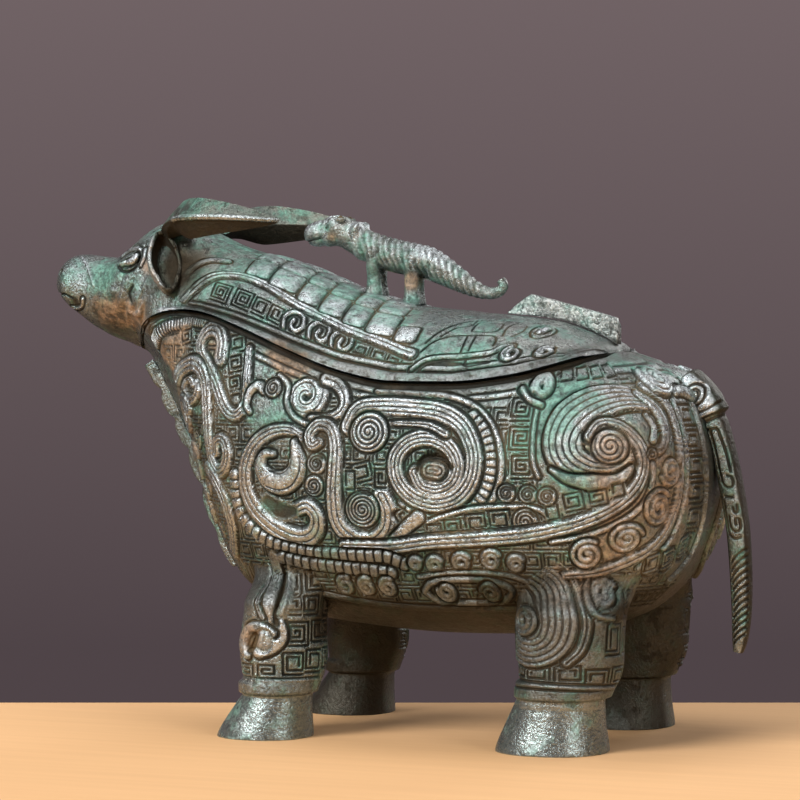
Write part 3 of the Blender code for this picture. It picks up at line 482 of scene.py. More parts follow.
def whorl_bands(sheet):
    """Bands that sweep round the whorl, the hook between them and the rolls along them."""
    sheet.lay(through((80, 85.4), (84.2, 81.6), (85.8, 77), (84.6, 73.2), (81.8, 71.4)), (0.8, 1.5, 0.9),
              0.6, ridges=2, dome=0.2)
    sheet.lay(through((80.4, 80.6), (82.2, 77.6), (81.6, 74.6)), (0.4, 0.9), 0.5, dome=0.3)
    sheet.disc(80.9, 71.4, 1.3, 1.2, 90, 0.4)
    sheet.lay(through((81, 69), (80.8, 64.6), (78.6, 59.8), (73.6, 55.6), (66, 52.4), (57, 50.6)),
              (0.7, 0.5), 0.5, moat=0.5)
    sheet.lay(through((83, 87.2), (88.6, 83.4), (90.8, 77), (91.2, 68), (89.6, 58.6), (85, 51.2),
                      (78, 46.6), (69, 43.6), (60, 42.6)), (0.9, 1.5, 1.4, 1.0), 0.6, ridges=2, dome=0.2,
              moat=0.6)
    for x, z, r, turns, start, squash in ((87.0, 67.2, 3.4, 1.9, 200, 1.0),
                                          (83.2, 58.6, 4.4, 2.4, 40, 1.0),
                                          (75.2, 51.4, 4.3, 2.2, 20, 0.82),
                                          (65.8, 47.6, 4.1, 2.1, 60, 0.86)):
        sheet.lay(coil(x, z, r, 0.6, turns, start, squash), (0.5, 0.7), 0.55, moat=0.5, dome=0.3)
    for x, z, w, h in ((62.6, 60.2, 4.4, 4.2), (68.2, 61.2, 4.0, 3.6), (57.6, 57.6, 2.8, 3.2),
                       (72.6, 63, 2.4, 3.0)):
        sheet.fret(x, z, w, h, 1, 12, depth=0.4)
    sheet.lay(coil(53.6, 87.2, 2.9, 0.8, -1.6, 200), 0.8, 0.7, moat=0.6)
    sheet.lay(through((48.2, 86.6), (50.4, 84.2), (54, 82.8)), 0.6, 0.6, moat=0.6)
    for x in (60, 65, 70, 75):
        sheet.fret(x, 90 + 0.06 * (x - 60), 3.8, 2.8, 1, 8, depth=0.45)


def rump_columns(sheet):
    """Fret column, borders, the rolled lip over the tail and the lower frets."""
    sheet.lay(through((99.6, 84), (100.2, 68), (101.6, 56), (98, 47)), 5.4, 0.1, moat=0)
    for x, z in ((99.2, 80.2), (99.6, 74), (100.2, 67.8), (101, 61.6), (102, 55.4), (101.4, 49.4)):
        sheet.cut(meander(0, 0, 5.0, 5.0, 1, pitch=1.25) * (1.8, 1) + (x, z), 0.5, 0.55)
    sheet.lay(through((92.6, 84), (94.2, 76), (94.4, 66), (92.8, 56.6), (88.4, 49.4), (80, 44)), 0.6, 0.6,
              moat=0.5)
    sheet.lay(through((104.4, 85), (105, 76), (105.8, 68), (107.2, 60), (108.4, 54), (107, 46), (98, 40)),
              0.9, 0.8)
    sheet.lay(coil(90.5, 88.4, 5.0, 1.2, 1.7, 160, 0.6), (1.4, 0.9), 1.1, ridges=2, dome=0.4)
    sheet.lay(through((96, 85.6), (100, 86), (106, 85), (112, 84.6)), (1.0, 1.8), 1.0, dome=0.4)
    for x, z, w, h in ((85, 45, 5.2, 5.0), (91.6, 45.8, 5.6, 5.4), (99, 48.6, 5.6, 5.6)):
        sheet.lay(dot(x, z, 0.3), 3.0, 0.2, moat=0.35)
        sheet.cut(meander(x, z, w, h, 1, 14, pitch=1.1), 0.4, 0.5)


def belly_beads(sheet):
    """Two rows of square beads along the belly edge."""
    upper = through((-27.4, 65), (-27.6, 59), (-25.6, 54), (-20.6, 50), (-14, 47.6), (-6, 46.4), (2, 46.2),
                    (9, 46.2), (15, 46), (19, 44.4))
    lower = through((-15, 44.8), (-7, 43.6), (2, 43), (9, 42.6), (15, 42))
    for row in (upper, lower):
        sheet.lay(row, 1.45, 0.8, dome=0.25, moat=0.6)
        sheet.frets(row, 2.35, 1.5, 0.75)


def belly_rolls(sheet):
    """Small rolls, the long oval and the closing line."""
    for x, z, r in ((22, 44.6, 1.9), (27, 44.4, 2.5), (34, 45.2, 2.8), (41.6, 46, 2.9), (47.6, 45.2, 2.4)):
        sheet.lay(coil(x, z, r - 0.4, 0.6, 1.7, 30), 0.55, 0.6, moat=0.5)
    sheet.lay(through((22, 41.2), (33, 42.6), (44, 42.4), (50, 40.4)), 0.45, 0.4)
    sheet.lay(through((22.6, 37.6), (25.4, 40), (33, 41), (41, 40.6), (45, 38.4), (41.4, 35.4), (33, 34.8),
                      (26, 35), (22.6, 37.6)), 0.65, 0.6, moat=0.5)
    for x, hand in ((28.4, 1.8), (39.6, -1.8)):
        sheet.lay(coil(x, 37.8, 2.4, 0.6, hand, 170), 0.5, 0.55, moat=0.5)
    for x in (1.5, 7.4, 13.2):
        sheet.lay(coil(x, 38.4, 2.3, 0.6, 1.5, 60), 0.6, 0.6, moat=0.5)
    sheet.lay(through((-12, 37), (-4, 35.2), (8, 33.6), (20, 33), (34, 33.2), (46, 33.8), (54, 34.4)), 0.6,
              0.4)


def draw_flank():
    """The whole flank, from the chest round to the tail."""
    sheet = Wax(-84, 117, 22, 108)
    for part in (thunder_ground, rim_border, neck_bands, chest_scrolls, shoulder_crescent, hooked_band,
                 great_coil, fret_column, haunch_whorl, whorl_bands, rump_columns, belly_beads,
                 belly_rolls):
        part(sheet)
    return sheet


def draw_lid():
    """Neck and back, from the lip up to the spine."""
    sheet = Wax(-64, 66, -2, 40)
    # frets along the neck and back
    for x, z, w, h, hand in ((-37.4, 9.6, 5.4, 6.2, 1), (-30.4, 9.2, 5.4, 5.8, -1),
                             (-24.6, 8.6, 4.4, 5.2, 1), (-20.2, 8.2, 3.6, 4.8, -1),
                             (5.0, 5.8, 4.2, 3.8, 1), (9.8, 5.4, 4.2, 3.6, -1), (14.4, 4.8, 3.8, 3.0, 1)):
        sheet.fret(x, z, w, h, hand, -6, depth=0.5)
    for x, z in ((-14.4, 7.9), (-7.0, 7.5), (-0.4, 7.0)):
        sheet.lay(through((x - 2.6, z - 2.2), (x - 3.0, z + 0.6), (x - 1.2, z + 2.8), (x + 1.6, z + 2.4),
                          (x + 2.4, z - 0.4), (x + 0.8, z - 2.2), (x - 0.8, z - 1.2), (x - 0.4, z + 0.6)),
                  0.5, 0.5, moat=0.5)
    # lip, its groove and the line above
    for rise, half in ((1.1, 1.0), (3.5, 0.55)):
        sheet.lay(through((-56, rise + 0.6), (-40, rise + 0.5), (0, rise), (30, rise - 0.3),
                          (62, rise - 0.3)), half, 0.3, moat=0.55)
    # arched border of the neck
    sheet.lay(through((-48.6, 4.6), (-46, 8.4), (-43, 12.6), (-39.6, 15.4), (-33.6, 16.8), (-26, 16),
                      (-18, 14), (-8, 12.2), (2, 10.4), (12, 8.4), (18.4, 6.6)), 1.2, 0.5, ridges=2)
    sheet.lay(through((-50, 12), (-47.6, 16.6), (-44, 20.4), (-39, 22)), 0.8, 0.45)
    # three rows of low cushions up to the spine
    lower = ((-33.6, 18.6), (-26.2, 17.4), (-17.6, 15.4), (-11, 14.0), (-3.8, 12.7), (3, 11.4),
             (11.2, 10.2), (17.8, 8.9))
    for (x, a), (next_x, next_a) in zip(lower[:-1], lower[1:]):
        middle, foot, high = (x + next_x) / 2, (a + next_a) / 2, 9.2 if next_x < 17 else 6.0
        sheet.tile(middle + 0.3, foot + 0.2 + high / 2, next_x - x - 0.5, high, -0.03)
        if next_x < 17:
            sheet.tile(middle - 0.6, foot + high + 4.6, next_x - x - 0.6, 8.4, -0.14, 0.4)
            sheet.tile(middle - 2.2, foot + high + 13.4, next_x - x - 0.6, 8.4, -0.2, 0.35)
    # mask over the heel: the long brow, its panels, two rings and an eye
    sheet.lay(through((19.4, 2.8), (22.6, 5.3), (28, 6.2), (34, 6.3), (38.2, 6.7), (40, 8.2), (42.4, 8.8)),
              (0.4, 0.6), 0.4, moat=0.6)
    sheet.cut(through((20.4, 7.4), (22.6, 10.6), (26, 12.8), (30, 13.5), (36, 13.2), (37.6, 11.4),
                      (37.7, 9)), 0.4, 0.5)
    for foot, top in (((30.4, 7.6), (30.2, 13)), ((32.2, 7.8), (32.2, 13))):
        sheet.cut(through(foot, top), 0.34, 0.3)
    sheet.cut(through((21.4, 2.8), (24, 4.2), (28.6, 4.7), (31.4, 4.4)), 0.5, 0.5)
    sheet.cut(through((32.4, 4.8), (33, 3.4), (38.6, 3.6)), 0.5, 0.5)
    for x, z, r, start in ((43, 5.8, 2.3, 100), (50.6, 5.2, 2.1, 60)):
        sheet.lay(coil(x, z, r, 0.7, 1.4, start), 0.45, 0.4, moat=0.55)
    sheet.lay(np.array([(46.7, 15.6), (47.2, 18.4)]), 0.9, 0.5, moat=0.5, dome=0.5)
    sheet.cut(coil(47, 17, 2.7, 2.7, 1.0, 0, 1.9), 0.42, 0.5)
    sheet.cut(through((20.6, 10), (23.2, 15.4), (26.4, 19.8), (30, 22.6), (34.6, 23.4)), 0.4, 0.45)
    sheet.cut(through((23.6, 12.4), (26.2, 16.6), (29, 18.4), (29.4, 21.6)), 0.34, 0.35)
    sheet.cut(through((30.4, 15.4), (36, 15.2), (36.6, 19), (35.4, 21.2), (30.6, 20.8), (30.2, 15.6)),
              0.36, 0.4)
    sheet.cut(through((38.6, 13), (38.2, 18), (39.6, 23)), 0.4, 0.4)
    sheet.cut(through((41, 12.6), (42.6, 15.6), (42.4, 19.6)), 0.34, 0.3)
    return sheet


def draw_head():
    """The face, seen from the side."""
    sheet = Wax(-96, -40, 92, 132)
    # brow, pointed eye, nose band, nostril, mouth and cheek
    sheet.lay(through((-71.6, 120.0), (-69, 121.5), (-66, 121.9), (-63.6, 120.9)), (0.3, 0.6), 0.4,
              moat=0.2, dome=0.3)
    sheet.lay(through((-70.2, 117.7), (-68.4, 118.2), (-66.4, 118.6), (-65.4, 119.5)), (0.45, 1.15), 0.6,
              moat=0.55, dome=0.6)
    sheet.cut(through((-71.4, 117.4), (-69.4, 116.1), (-66.8, 115.9), (-64.7, 117.2), (-63.9, 119.8)),
              0.55, 0.6)
    sheet.lay(through((-63.2, 117.4), (-62.6, 119.4), (-62.8, 121.4)), (0.3, 0.5), 0.3, moat=0.15, dome=0.5)
    sheet.lay(through((-86, 120.2), (-83.4, 118.4), (-81.2, 115.8), (-79, 112.4)), (0.25, 0.38), 0.45,
              moat=0)
    sheet.cut(coil(-90.2, 116, 0.7, 0.3, 0.8, 60), 0.5, 0.5)
    sheet.cut(through((-93, 110.9), (-90.6, 110.3), (-88, 110.2), (-86, 109.2)), 0.42, 0.5)
    sheet.lay(through((-87.2, 106.9), (-85.4, 106.5), (-83.4, 107.2), (-82.7, 109.0)), (0.2, 0.42), 0.35,
              moat=0.15, dome=0.4)
    sheet.sink(-85.4, 108.2, 1.5, 0.45)
    sheet.lay(through((-67, 105.6), (-65.2, 104.9), (-63.4, 105.2)), (0.5, 0.9), 0.45, moat=0, dome=0.5)
    sheet.cut(through((-65.4, 112), (-66.6, 110), (-65.8, 108.2)), 0.7, 0.35)
    sheet.sink(-72, 108.6, 2.2, 0.25)
    sheet.sink(-78, 105.8, 2.6, 0.25)
    return sheet


def draw_front_leg():
    """Frets, a hanging fold and a hooked roll above the collar."""
    sheet = Wax(-52, 18, -2, 60)
    for x, z, w, h, hand in ((-11.6, 38.6, 3.6, 5.0, 1), (-12.0, 33.2, 4.2, 4.6, -1),
                             (-7.4, 33.2, 4.0, 4.6, 1), (-10.8, 26.2, 5.2, 5.8, 1),
                             (-5.2, 26.8, 4.2, 5.2, -1), (-11.8, 18.8, 4.8, 5.4, -1),
                             (-6.2, 19.4, 4.8, 5.6, 1), (-23.6, 16.8, 4.0, 3.2, 1),
                             (-18.2, 16.8, 4.0, 3.2, -1), (-6.6, 39.4, 4.2, 5.0, -1), (-30, 20, 5, 5.4, 1),
                             (-31, 34, 5, 5.4, -1), (-30, 27, 5, 5.2, 1), (-0.6, 33, 5, 5, -1),
                             (-0.4, 26.6, 5, 5, 1), (-0.8, 20, 5, 5, -1)):
        sheet.fret(x, z, w, h, hand, depth=0.5)
    sheet.lay(through((-18.4, 44), (-17.8, 39.6), (-17.8, 35), (-17.2, 31.4), (-15.2, 28.2), (-14.8, 25.2),
                      (-16.6, 22.8), (-19.6, 21.4)), (2.7, 2.6, 2.1, 1.7, 1.4), 0.75, moat=0.5, dome=0.4)
    sheet.cut(coil(-17.4, 39.6, 1.9, 0.3, 1.8, 20), 0.3, 0.35)
    sheet.lay(through((-27, 45), (-23, 42.4), (-20.8, 38.6), (-19.8, 34), (-18.4, 30)), (0.8, 0.6), 0.45,
              ridges=2)
    sheet.cut(through((-14.6, 44), (-14.0, 40), (-14.4, 35), (-15.4, 31), (-15.4, 28.6)), 1.0, 1.3)
    sheet.lay(through((-13.2, 43.4), (-12.8, 39), (-13.2, 35), (-14.2, 31)), 0.5, 0.5, moat=0)
    sheet.lay(through((-16.2, 26.4), (-18.4, 27.8), (-21.4, 27.6), (-23.4, 25.4), (-24.2, 22.8),
                      (-23, 20.8)), (0.9, 1.2, 1.4, 1.2), 0.9, moat=0.5, dome=0.5)
    sheet.lay(through((-18.2, 25.6), (-18.4, 23.6)), 1.3, 0.6, moat=0, dome=0.5)
    sheet.cut(through((-20.4, 25.6), (-21, 23.6), (-22.2, 21.8)), 0.9, 1.0)
    sheet.lay(through((-36, 14.4), (-20, 14.3), (-4, 14.4)), 0.5, 0.35)
    return sheet


def draw_hind_leg():
    """Frets, and a comma of close rings round a roll."""
    sheet = Wax(20, 96, -2, 60)
    for x, z, w, h, hand in ((41, 19.8, 5.0, 4.4, 1), (47.2, 19.6, 5.2, 4.4, -1),
                             (53.4, 19.4, 5.2, 4.4, 1), (59.6, 19.2, 5.2, 4.4, -1),
                             (65.8, 18.2, 5.2, 4.6, 1), (72, 18.6, 5.2, 4.6, -1),
                             (69.4, 27.4, 4.2, 7.2, 1), (75, 27, 4.6, 6, -1), (74.6, 36, 4.6, 6, 1),
                             (79, 20, 5, 5, 1)):
        sheet.fret(x, z, w, h, hand, depth=0.5)
    sheet.lay(through((40, 47), (46, 46.4), (51.6, 43.4), (55.8, 38.4), (57.6, 32.4), (56.4, 27),
                      (52.4, 24.6), (47, 26), (42, 29.6)), 4.0, 0.6, ridges=6, moat=0.4)
    sheet.lay(coil(50.2, 32, 3.7, 0.6, 2.1, 190), 0.58, 0.6, moat=0.4)
    sheet.lay(through((52, 49), (57.6, 45.4), (61.6, 39.4), (63.2, 32), (62.2, 25.6), (59.4, 22)), 0.9,
              0.5, ridges=2)
    sheet.lay(coil(67.4, 38.4, 3.2, 0.6, 2.0, 30), 0.6, 0.6, moat=0.5)
    sheet.lay(through((64.4, 44), (63.8, 38), (65, 33.6), (68.6, 32.4)), 0.6, 0.45)
    sheet.lay(through((40, 16.6), (56, 16.5), (72, 15.6)), 0.5, 0.35)
    return sheet


def on_tail(across, z):
    """A place on the tail's side, given across its own width."""
    middle = np.interp(z, (22, 32, 42, 53, 64, 74, 82.6), (90.9, 91.8, 91.6, 90.8, 88.9, 86.4, 82.6))
    return float(middle) + across, z


def draw_tail():
    """Panels, twisted hair and the rolled hood."""
    sheet = Wax(70, 98, 18, 96)
    # long panel with its hook, a bar, and the short panel with two hooks
    for marks in (((-1.1, 76.4), (1.3, 76.8)), ((-0.5, 76), (-0.9, 71), (-1.1, 66)),
                  ((-1.1, 66), (-0.9, 63.4), (0.3, 62.5), (1.6, 63.2), (1.6, 65), (0.5, 65.4)),
                  ((1.5, 76.4), (1.7, 71), (1.7, 66.4)), ((-1.0, 60.3), (0.9, 60.2)),
                  ((0.5, 57.8), (0.8, 56.6), (1.7, 56.9), (1.7, 58.4)),
                  ((-0.9, 55.6), (-0.8, 52.8), (0.4, 51.9), (1.6, 52.6), (1.7, 54.8), (0.7, 55),
                   (0.6, 53.6)),
                  ((-1.6, 59), (-1.7, 54), (-1.2, 51), (0.2, 50.2), (1.6, 50.6))):
        sheet.cut(through(*[on_tail(*place) for place in marks]), 0.42, 0.45)
    # twisted hair at the end
    for z in np.arange(26, 47, 1.7):
        sheet.cut(through(on_tail(2.6, z + 1.4), on_tail(0.4, z), on_tail(-1.4, z - 1.9)), 0.4, 0.35)
    # rolled hood over the root
    sheet.cut(coil(81.0, 84.9, 2.9, 0.4, 2.0, 250), 0.42, 0.5)
    sheet.cut(through((79.6, 80.8), (82.2, 80.6), (85, 81.8), (87.4, 84.2)), 0.4, 0.4)
    return sheet


flank_sheet = draw_flank()
lid_sheet = draw_lid()
head_sheet = draw_head()
front_leg_sheet = draw_front_leg()
hind_leg_sheet = draw_hind_leg()
tail_sheet = draw_tail()


# How deep the ornament runs on each casting, point by point

def flank_relief(points):
    """The flank's sheet, run out towards belly, chest and tail, and tucked in under the rim, where the tuck
    is also marked as a cut so that it is painted dark as shade.
    """
    x, _, z = points.T
    along, up = unroll_flank(points)
    above_belly = ease((z - 31.5) / 2)
    ends = ease((111.5 - along) / 2) * ease((along + 78) / 4)
    below_rim = ease((along_line(RIM_LINE, x) - z) / 1.2)
    shown = above_belly * ends * np.where(x > 62, 1, below_rim)
    depth, edge = flank_sheet.read(along, up)
    below = rim(np.clip(x, LIP_X, HEEL_X)) - z
    tuck = ease((1.6 - below) / 0.9) * (x < HEEL_X)
    return depth * shown - 0.9 * tuck, np.minimum(1 - (1 - edge) * shown, 1 - 1.5 * tuck)


def lid_relief(points):
    """The lid's sheet and its lip, the head's sheet on the face, and a hollow behind the ear, whose depth
    also paints it dark as shade.
    """
    x, y, z = points.T
    along, up = unroll_lid(points)
    depth, edge = lid_sheet.read(along, up)
    shown = ease((x + 51) / 5) * ease((63 - x) / 2) * ease(up / 0.8)
    lip = 0.45 * ease((2.4 - up) / 1.2) * ease((x + 60) / 6) * ease((62.5 - x) / 3)
    face_depth, face_edge = head_sheet.read(x, z)
    face = ease((-59 - x) / 3)
    down_ear = (5 * (x + 52.6) - 13 * (z - 117)) / 13.9
    across_ear = (13 * (x + 52.6) + 5 * (z - 117)) / 13.9
    behind_ear = np.exp(-(down_ear / 6.5) ** 2 - (across_ear / 2.8) ** 2)
    behind_ear += 0.4 * np.exp(-((x + 47.5) ** 2 + (z - 119) ** 2) / 14)
    behind_ear *= np.abs(y) > 8
    depth = depth * shown + lip + face_depth * face - 0.8 * np.minimum(behind_ear, 1)
    return depth, 1 - (1 - edge) * shown - (1 - face_edge) * face


def leg_relief(sheet, middle):
    """A leg's sheet on its outer side, above the collar ring."""
    def relief(points):
        along, up = unroll_leg(points, middle)
        shown = ease((np.abs(points[:, 1]) - 22) / 5) * ease((points[:, 2] - COLLAR_Z) / 1.5)
        depth, edge = sheet.read(along, up)
        return depth * shown, 1 - (1 - edge) * shown
    return relief


def tail_relief(points):
    """The tail's sheet on both broad sides, and the hood over its root."""
    x, y, z = points.T
    depth, edge = tail_sheet.read(x, z)
    shown = ease((np.abs(y) - 0.9) / 0.8)
    past = 0.42 * (x - 84.2) - 0.91 * (z - 79.6)
    hood = ease(0.4 - past / 0.8) * ease((x - 77) / 2)
    gap = np.exp(-((past - 1.0) / 0.7) ** 2)
    return depth * shown + 1.2 * hood - 0.3 * gap, 1 - (1 - edge) * shown - 1.2 * gap


def tiger_relief(points):
    """Close rings round the body, a swollen muzzle with its mouth line, a sunk eye and two ear knobs."""
    x, y, z = points.T
    middle = np.interp(x, (-23, -14, -7, 2, 11, 16.5, 21, 26),
                       (125, 126, 122.4, 119.2, 117, 114.3, 111.6, 110))
    body = ease((x + 9) / 2) * ease((27 - x) / 3) * ease((z - middle + 3.6) / 1.2)
    wander = 0.14 * np.sin(0.9 * z + 0.4 * x) + 0.10 * np.sin(0.04 * x * x + 1.7 * z)
    ring = np.sin(math.tau * (x + 0.25 * (z - middle) + wander) / 1.7)
    head = ease((-9.5 - x) / 2)
    muzzle = 0.45 * ease((-15 - x) / 3) * ease((x + 24.5) / 2) - 0.35 * np.exp(-((x + 18.4) / 0.8) ** 2)
    brow = 0.7 * np.exp(-((x + 15) ** 2 + (z - 128.4) ** 2 * 0.6) / 3.0)
    socket = np.exp(-((x + 16.6) ** 2 + (z - 126.8) ** 2) / 0.8) * (np.abs(y) > 1.5)
    flat = 1.1 * ease((z - 128.9) / 0.8) * (np.abs(y) > 1.4)
    ear = 1.7 * np.exp(-(x + 8.6) ** 2 / 1.7 - (z - 126.2) ** 2 / 2.2) * ease((np.abs(y) - 0.6) / 0.8)
    mouth = np.exp(-((z - 123.6 - 0.12 * (x + 22)) / 0.35) ** 2) * ease((-17.6 - x) / 1.0)
    collar = 0.35 * np.exp(-((x + 8.6) / 0.9) ** 2)
    haunch = 0.5 * np.exp(-((x - 11) / 4.5) ** 2) * ease((z - middle) / 2)
    face = muzzle + brow - 0.6 * socket - 0.4 * mouth - flat
    depth = body * 0.13 * ring + haunch + collar + ear + head * face
    return depth, 1 - 0.95 * body * ease(-ring * 1.2 - 0.1) - 1.1 * head * np.maximum(socket, mouth)


def horn_relief(points):
    """The ridge along a horn's outer side is raised and brightened, partly as wear and partly as a painted
    highlight.
    """
    x, y, _ = points.T
    place = np.round(x * 2).astype(int)
    reach = {step: np.abs(y[place == step]).max() for step in np.unique(place)}
    ridge = ease((np.abs(y) - np.array([reach[step] for step in place]) + 0.55) / 0.4) * ease((x + 52) / 3)
    return 0.7 * ridge - 0.12, np.ones(len(points))


def no_relief(points):
    """A plain surface."""
    return np.zeros(len(points)), np.ones(len(points))


# Where the green, the rust and the spots of painted shade sit: x, y, z, radius and strength
GREEN_SPOTS = ((62, -38, 65, 6, 1.1), (-76, -12, 116, 7, 1.0), (-34, -14, 121, 12, 0.8),
               (-8, -12, 111, 13, 0.9), (58, -36, 84, 8, 1.2), (55, -40, 76, 6, 0.9),
               (8, -20, 105, 8, 0.7), (-45, 0, 130, 12, 0.8), (-14, -37, 79, 8, 0.6),
               (66, -32, 64, 8, 0.8), (36, -30, 58, 9, 0.6), (0, -30, 45, 8, 0.6), (50, -25, 15, 9, 0.6),
               (-28, -30, 6, 8, 0.5), (68, -12, 92, 9, 0.7), (30, -28, 95, 10, 0.6), (90, 0, 52, 9, 0.7),
               (-30, 16, 118, 12, 0.7), (20, 38, 70, 12, 0.8), (62, 34, 60, 12, 0.8),
               (-20, 34, 60, 10, 0.7))
RUST_SPOTS = ((-66, -14, 106, 6, 1.2), (-78, -10, 106, 6, 0.5), (-72, -12, 104, 6, 0.8),
              (-61, -17, 118, 4, 1.0), (-15, -3, 124.6, 2.2, 1.2), (6.3, -3, 113, 2.6, 1.3),
              (66, -40, 70, 10, 0.6), (80, -28, 66, 12, 0.95), (70, -36, 50, 10, 0.7),
              (-45, -20, 70, 10, 0.7), (-47, -18, 85, 8, 0.7), (-22, -36, 26, 5, 1.1),
              (-14, -37, 38, 4, 1.0), (-12, -34, 92, 5, 0.8), (28, -44, 67, 4, 0.9), (72, -36, 74, 6, 0.7),
              (80, -22, 56, 12, 0.6), (60, -36, 40, 10, 0.7), (56, -30, 32, 8, 0.4), (10, -8, 112, 4, 1.0),
              (36, -20, 33, 10, 0.6), (-56, -18, 96, 7, 0.8), (-48, -21, 98, 6, 0.9),
              (-36, -27, 97, 5, 0.8), (-17, -33, 95, 4, 0.9), (-9, -35, 91.5, 4, 1.0),
              (74, 30, 50, 12, 0.6), (-48, 16, 76, 10, 0.7), (-66, 14, 106, 6, 0.8))
SHADE_SPOTS = ((-49, -17, 118, 6, 0.8), (-49, 17, 118, 6, 0.8), (-54, -17, 115, 5, 1.3),
              (-54, 17, 115, 5, 1.3), (-47, -20, 113, 4, 0.5), (-74, -9, 100, 5, 0.7),
              (-12, -33, 95, 4, 0.3), (-14.5, -2.5, 126.6, 1.6, 0.6), (-20.5, -2.2, 124.4, 1.8, 0.5))


def spots(points, table):
    """How strongly a table of soft round spots marks each point."""
    total = np.zeros(len(points))
    for x, y, z, radius, strength in table:
        total += strength * np.exp(-((points - (x, y, z)) ** 2).sum(1) / radius ** 2)
    return np.clip(total, 0, 1.3)


# Castings: each is a copy of its solid, smoothed and then worked by at most this many millimetres
MOST_RELIEF = 2


def pick(piece):
    """Makes a piece the only selected one."""
    bpy.ops.object.select_all(action='DESELECT')
    piece.select_set(True)
    bpy.context.view_layer.objects.active = piece


def points_of(piece):
    """The piece's points in millimetres."""
    flat = np.empty(len(piece.data.vertices) * 3)
    piece.data.vertices.foreach_get("co", flat)
    return flat.reshape(-1, 3) * TO_MM


def put_points(piece, points):
    piece.data.vertices.foreach_set("co", (points * MM).reshape(-1))
    piece.data.update()


def normals_of(piece):
    flat = np.empty(len(piece.data.vertices) * 3)
    piece.data.vertices.foreach_get("normal", flat)
    return flat.reshape(-1, 3)


def faces_of(piece):
    """The middle of each face in millimetres, and the way it looks."""
    centre = np.empty(len(piece.data.polygons) * 3)
    facing = np.empty_like(centre)
    piece.data.polygons.foreach_get("center", centre)
    piece.data.polygons.foreach_get("normal", facing)
    return centre.reshape(-1, 3) * TO_MM, facing.reshape(-1, 3)


def choose_faces(piece, chosen):
    """Leaves edit mode's face selection on just these faces."""
    bpy.ops.object.mode_set(mode='EDIT')
    bpy.ops.mesh.select_mode(type='FACE')
    bpy.ops.mesh.select_all(action='DESELECT')
    bpy.ops.object.mode_set(mode='OBJECT')
    piece.data.polygons.foreach_set("select", chosen)
    bpy.ops.object.mode_set(mode='EDIT')


def take_casting(node, name, crease=0.8, sharp=42):
    """A loose copy of a solid, its triangles joined to four-sided faces and its hard edges marked."""
    piece = bpy.data.objects.new(name, nodes[node].data.copy())
    bpy.context.collection.objects.link(piece)
    pick(piece)
    bpy.ops.object.mode_set(mode='EDIT')
    bpy.ops.mesh.select_mode(type='EDGE')
    bpy.ops.mesh.select_all(action='SELECT')
    bpy.ops.mesh.remove_doubles(threshold=1e-6)
    bpy.ops.mesh.tris_convert_to_quads(face_threshold=math.radians(50), shape_threshold=math.radians(60))
    bpy.ops.mesh.select_all(action='DESELECT')
    bpy.ops.mesh.edges_select_sharp(sharpness=math.radians(sharp))
    bpy.ops.transform.edge_crease(value=crease)
    bpy.ops.mesh.select_all(action='DESELECT')
    bpy.ops.object.mode_set(mode='OBJECT')
    return piece


def soften(piece, levels):
    """Rounds a casting between its marked edges."""
    pick(piece)
    smooth = piece.modifiers.new("smooth", 'SUBSURF')
    smooth.levels = levels
    bpy.ops.object.modifier_apply(modifier=smooth.name)


def split_off(piece, chosen, name):
    """Parts the chosen faces from a casting as a piece of their own."""
    pick(piece)
    choose_faces(piece, chosen)
    bpy.ops.mesh.separate(type='SELECTED')
    bpy.ops.object.mode_set(mode='OBJECT')
    other = [o for o in bpy.context.selected_objects if o is not piece][0]
    other.name = other.data.name = name
    return other


def refine(piece, chosen):
    """Cuts the chosen faces in four, where fine ornament comes."""
    pick(piece)
    choose_faces(piece, chosen)
    bpy.ops.mesh.subdivide(number_cuts=1)
    bpy.ops.object.mode_set(mode='OBJECT')


def grime(points):
    """How far dark grime and painted shade reach: painted shade under the belly, low on the rear and under
    the tail, between the legs, on the far legs, low on the flank, along the lid's lip and in the shade
    spots, and some darkening of the hind legs and chest.
    """
    x, y, z = points.T
    underside = ease((37 - z) / 4) * ease((34 - np.abs(y)) / 4) * (z > body_section(x)[0] - 1.5)
    rear = ease((x - 72) / 10) * ease((58 - z) / 24) + 0.8 * ease((x - 82.5) / 2) * (np.abs(y) < 14)
    inner_leg = ease((26 - np.abs(y)) / 6) * ease((40 - z) / 4)
    far_leg = 0.5 * (y > 15) * ease((42 - z) / 4)
    hind_leg = 0.5 * (x > 35) * ease((46 - z) / 6) * ease((z - 12) / 3)
    low_flank = 0.4 * ease((x + 34) / 6) * ease((60 - x) / 8) * ease((52 - z) / 7) * ease((z - 30) / 5)
    chest = 0.2 * ease((-40 - x) / 8) * ease((92 - z) / 6)
    off_rim = np.abs(z - along_line(RIM_LINE, np.minimum(x, 62)) - 0.6)
    lip = 0.5 * ease((x + 52) / 6) * ease(2.2 - off_rim / 1.8)
    return np.clip(lip + underside + 0.7 * rear + 0.8 * inner_leg + far_leg + hind_leg + low_flank + chest
                   + spots(points, SHADE_SPOTS), 0, 1)


def set_layer(piece, name, values):
    """Stores one value for each point, for the finish to read."""
    layers = piece.data.attributes
    layer = layers.get(name) or layers.new(name, 'FLOAT', 'POINT')
    layer.data.foreach_set("value", values.astype(np.float32))


def keep_depths(piece, points, depth, edge):
    """Stores the depth of the ornament, the stains, the grime with painted shade, and the rubbed hooves,
    whose finish is weaker on the far side so that the far hooves stay darker as painted shade.
    """
    set_layer(piece, "relief", depth)
    set_layer(piece, "cut_edge", edge)
    set_layer(piece, "green", spots(points, GREEN_SPOTS))
    set_layer(piece, "rust", spots(points, RUST_SPOTS))
    set_layer(piece, "grime", grime(points))
    # the far side's hooves get less of the hoof finish and stay darker: painted shade
    set_layer(piece, "hoof", ease((HOOF_Z - points[:, 2]) / 1.5) * np.where(points[:, 1] < 0, 1, 0.3))


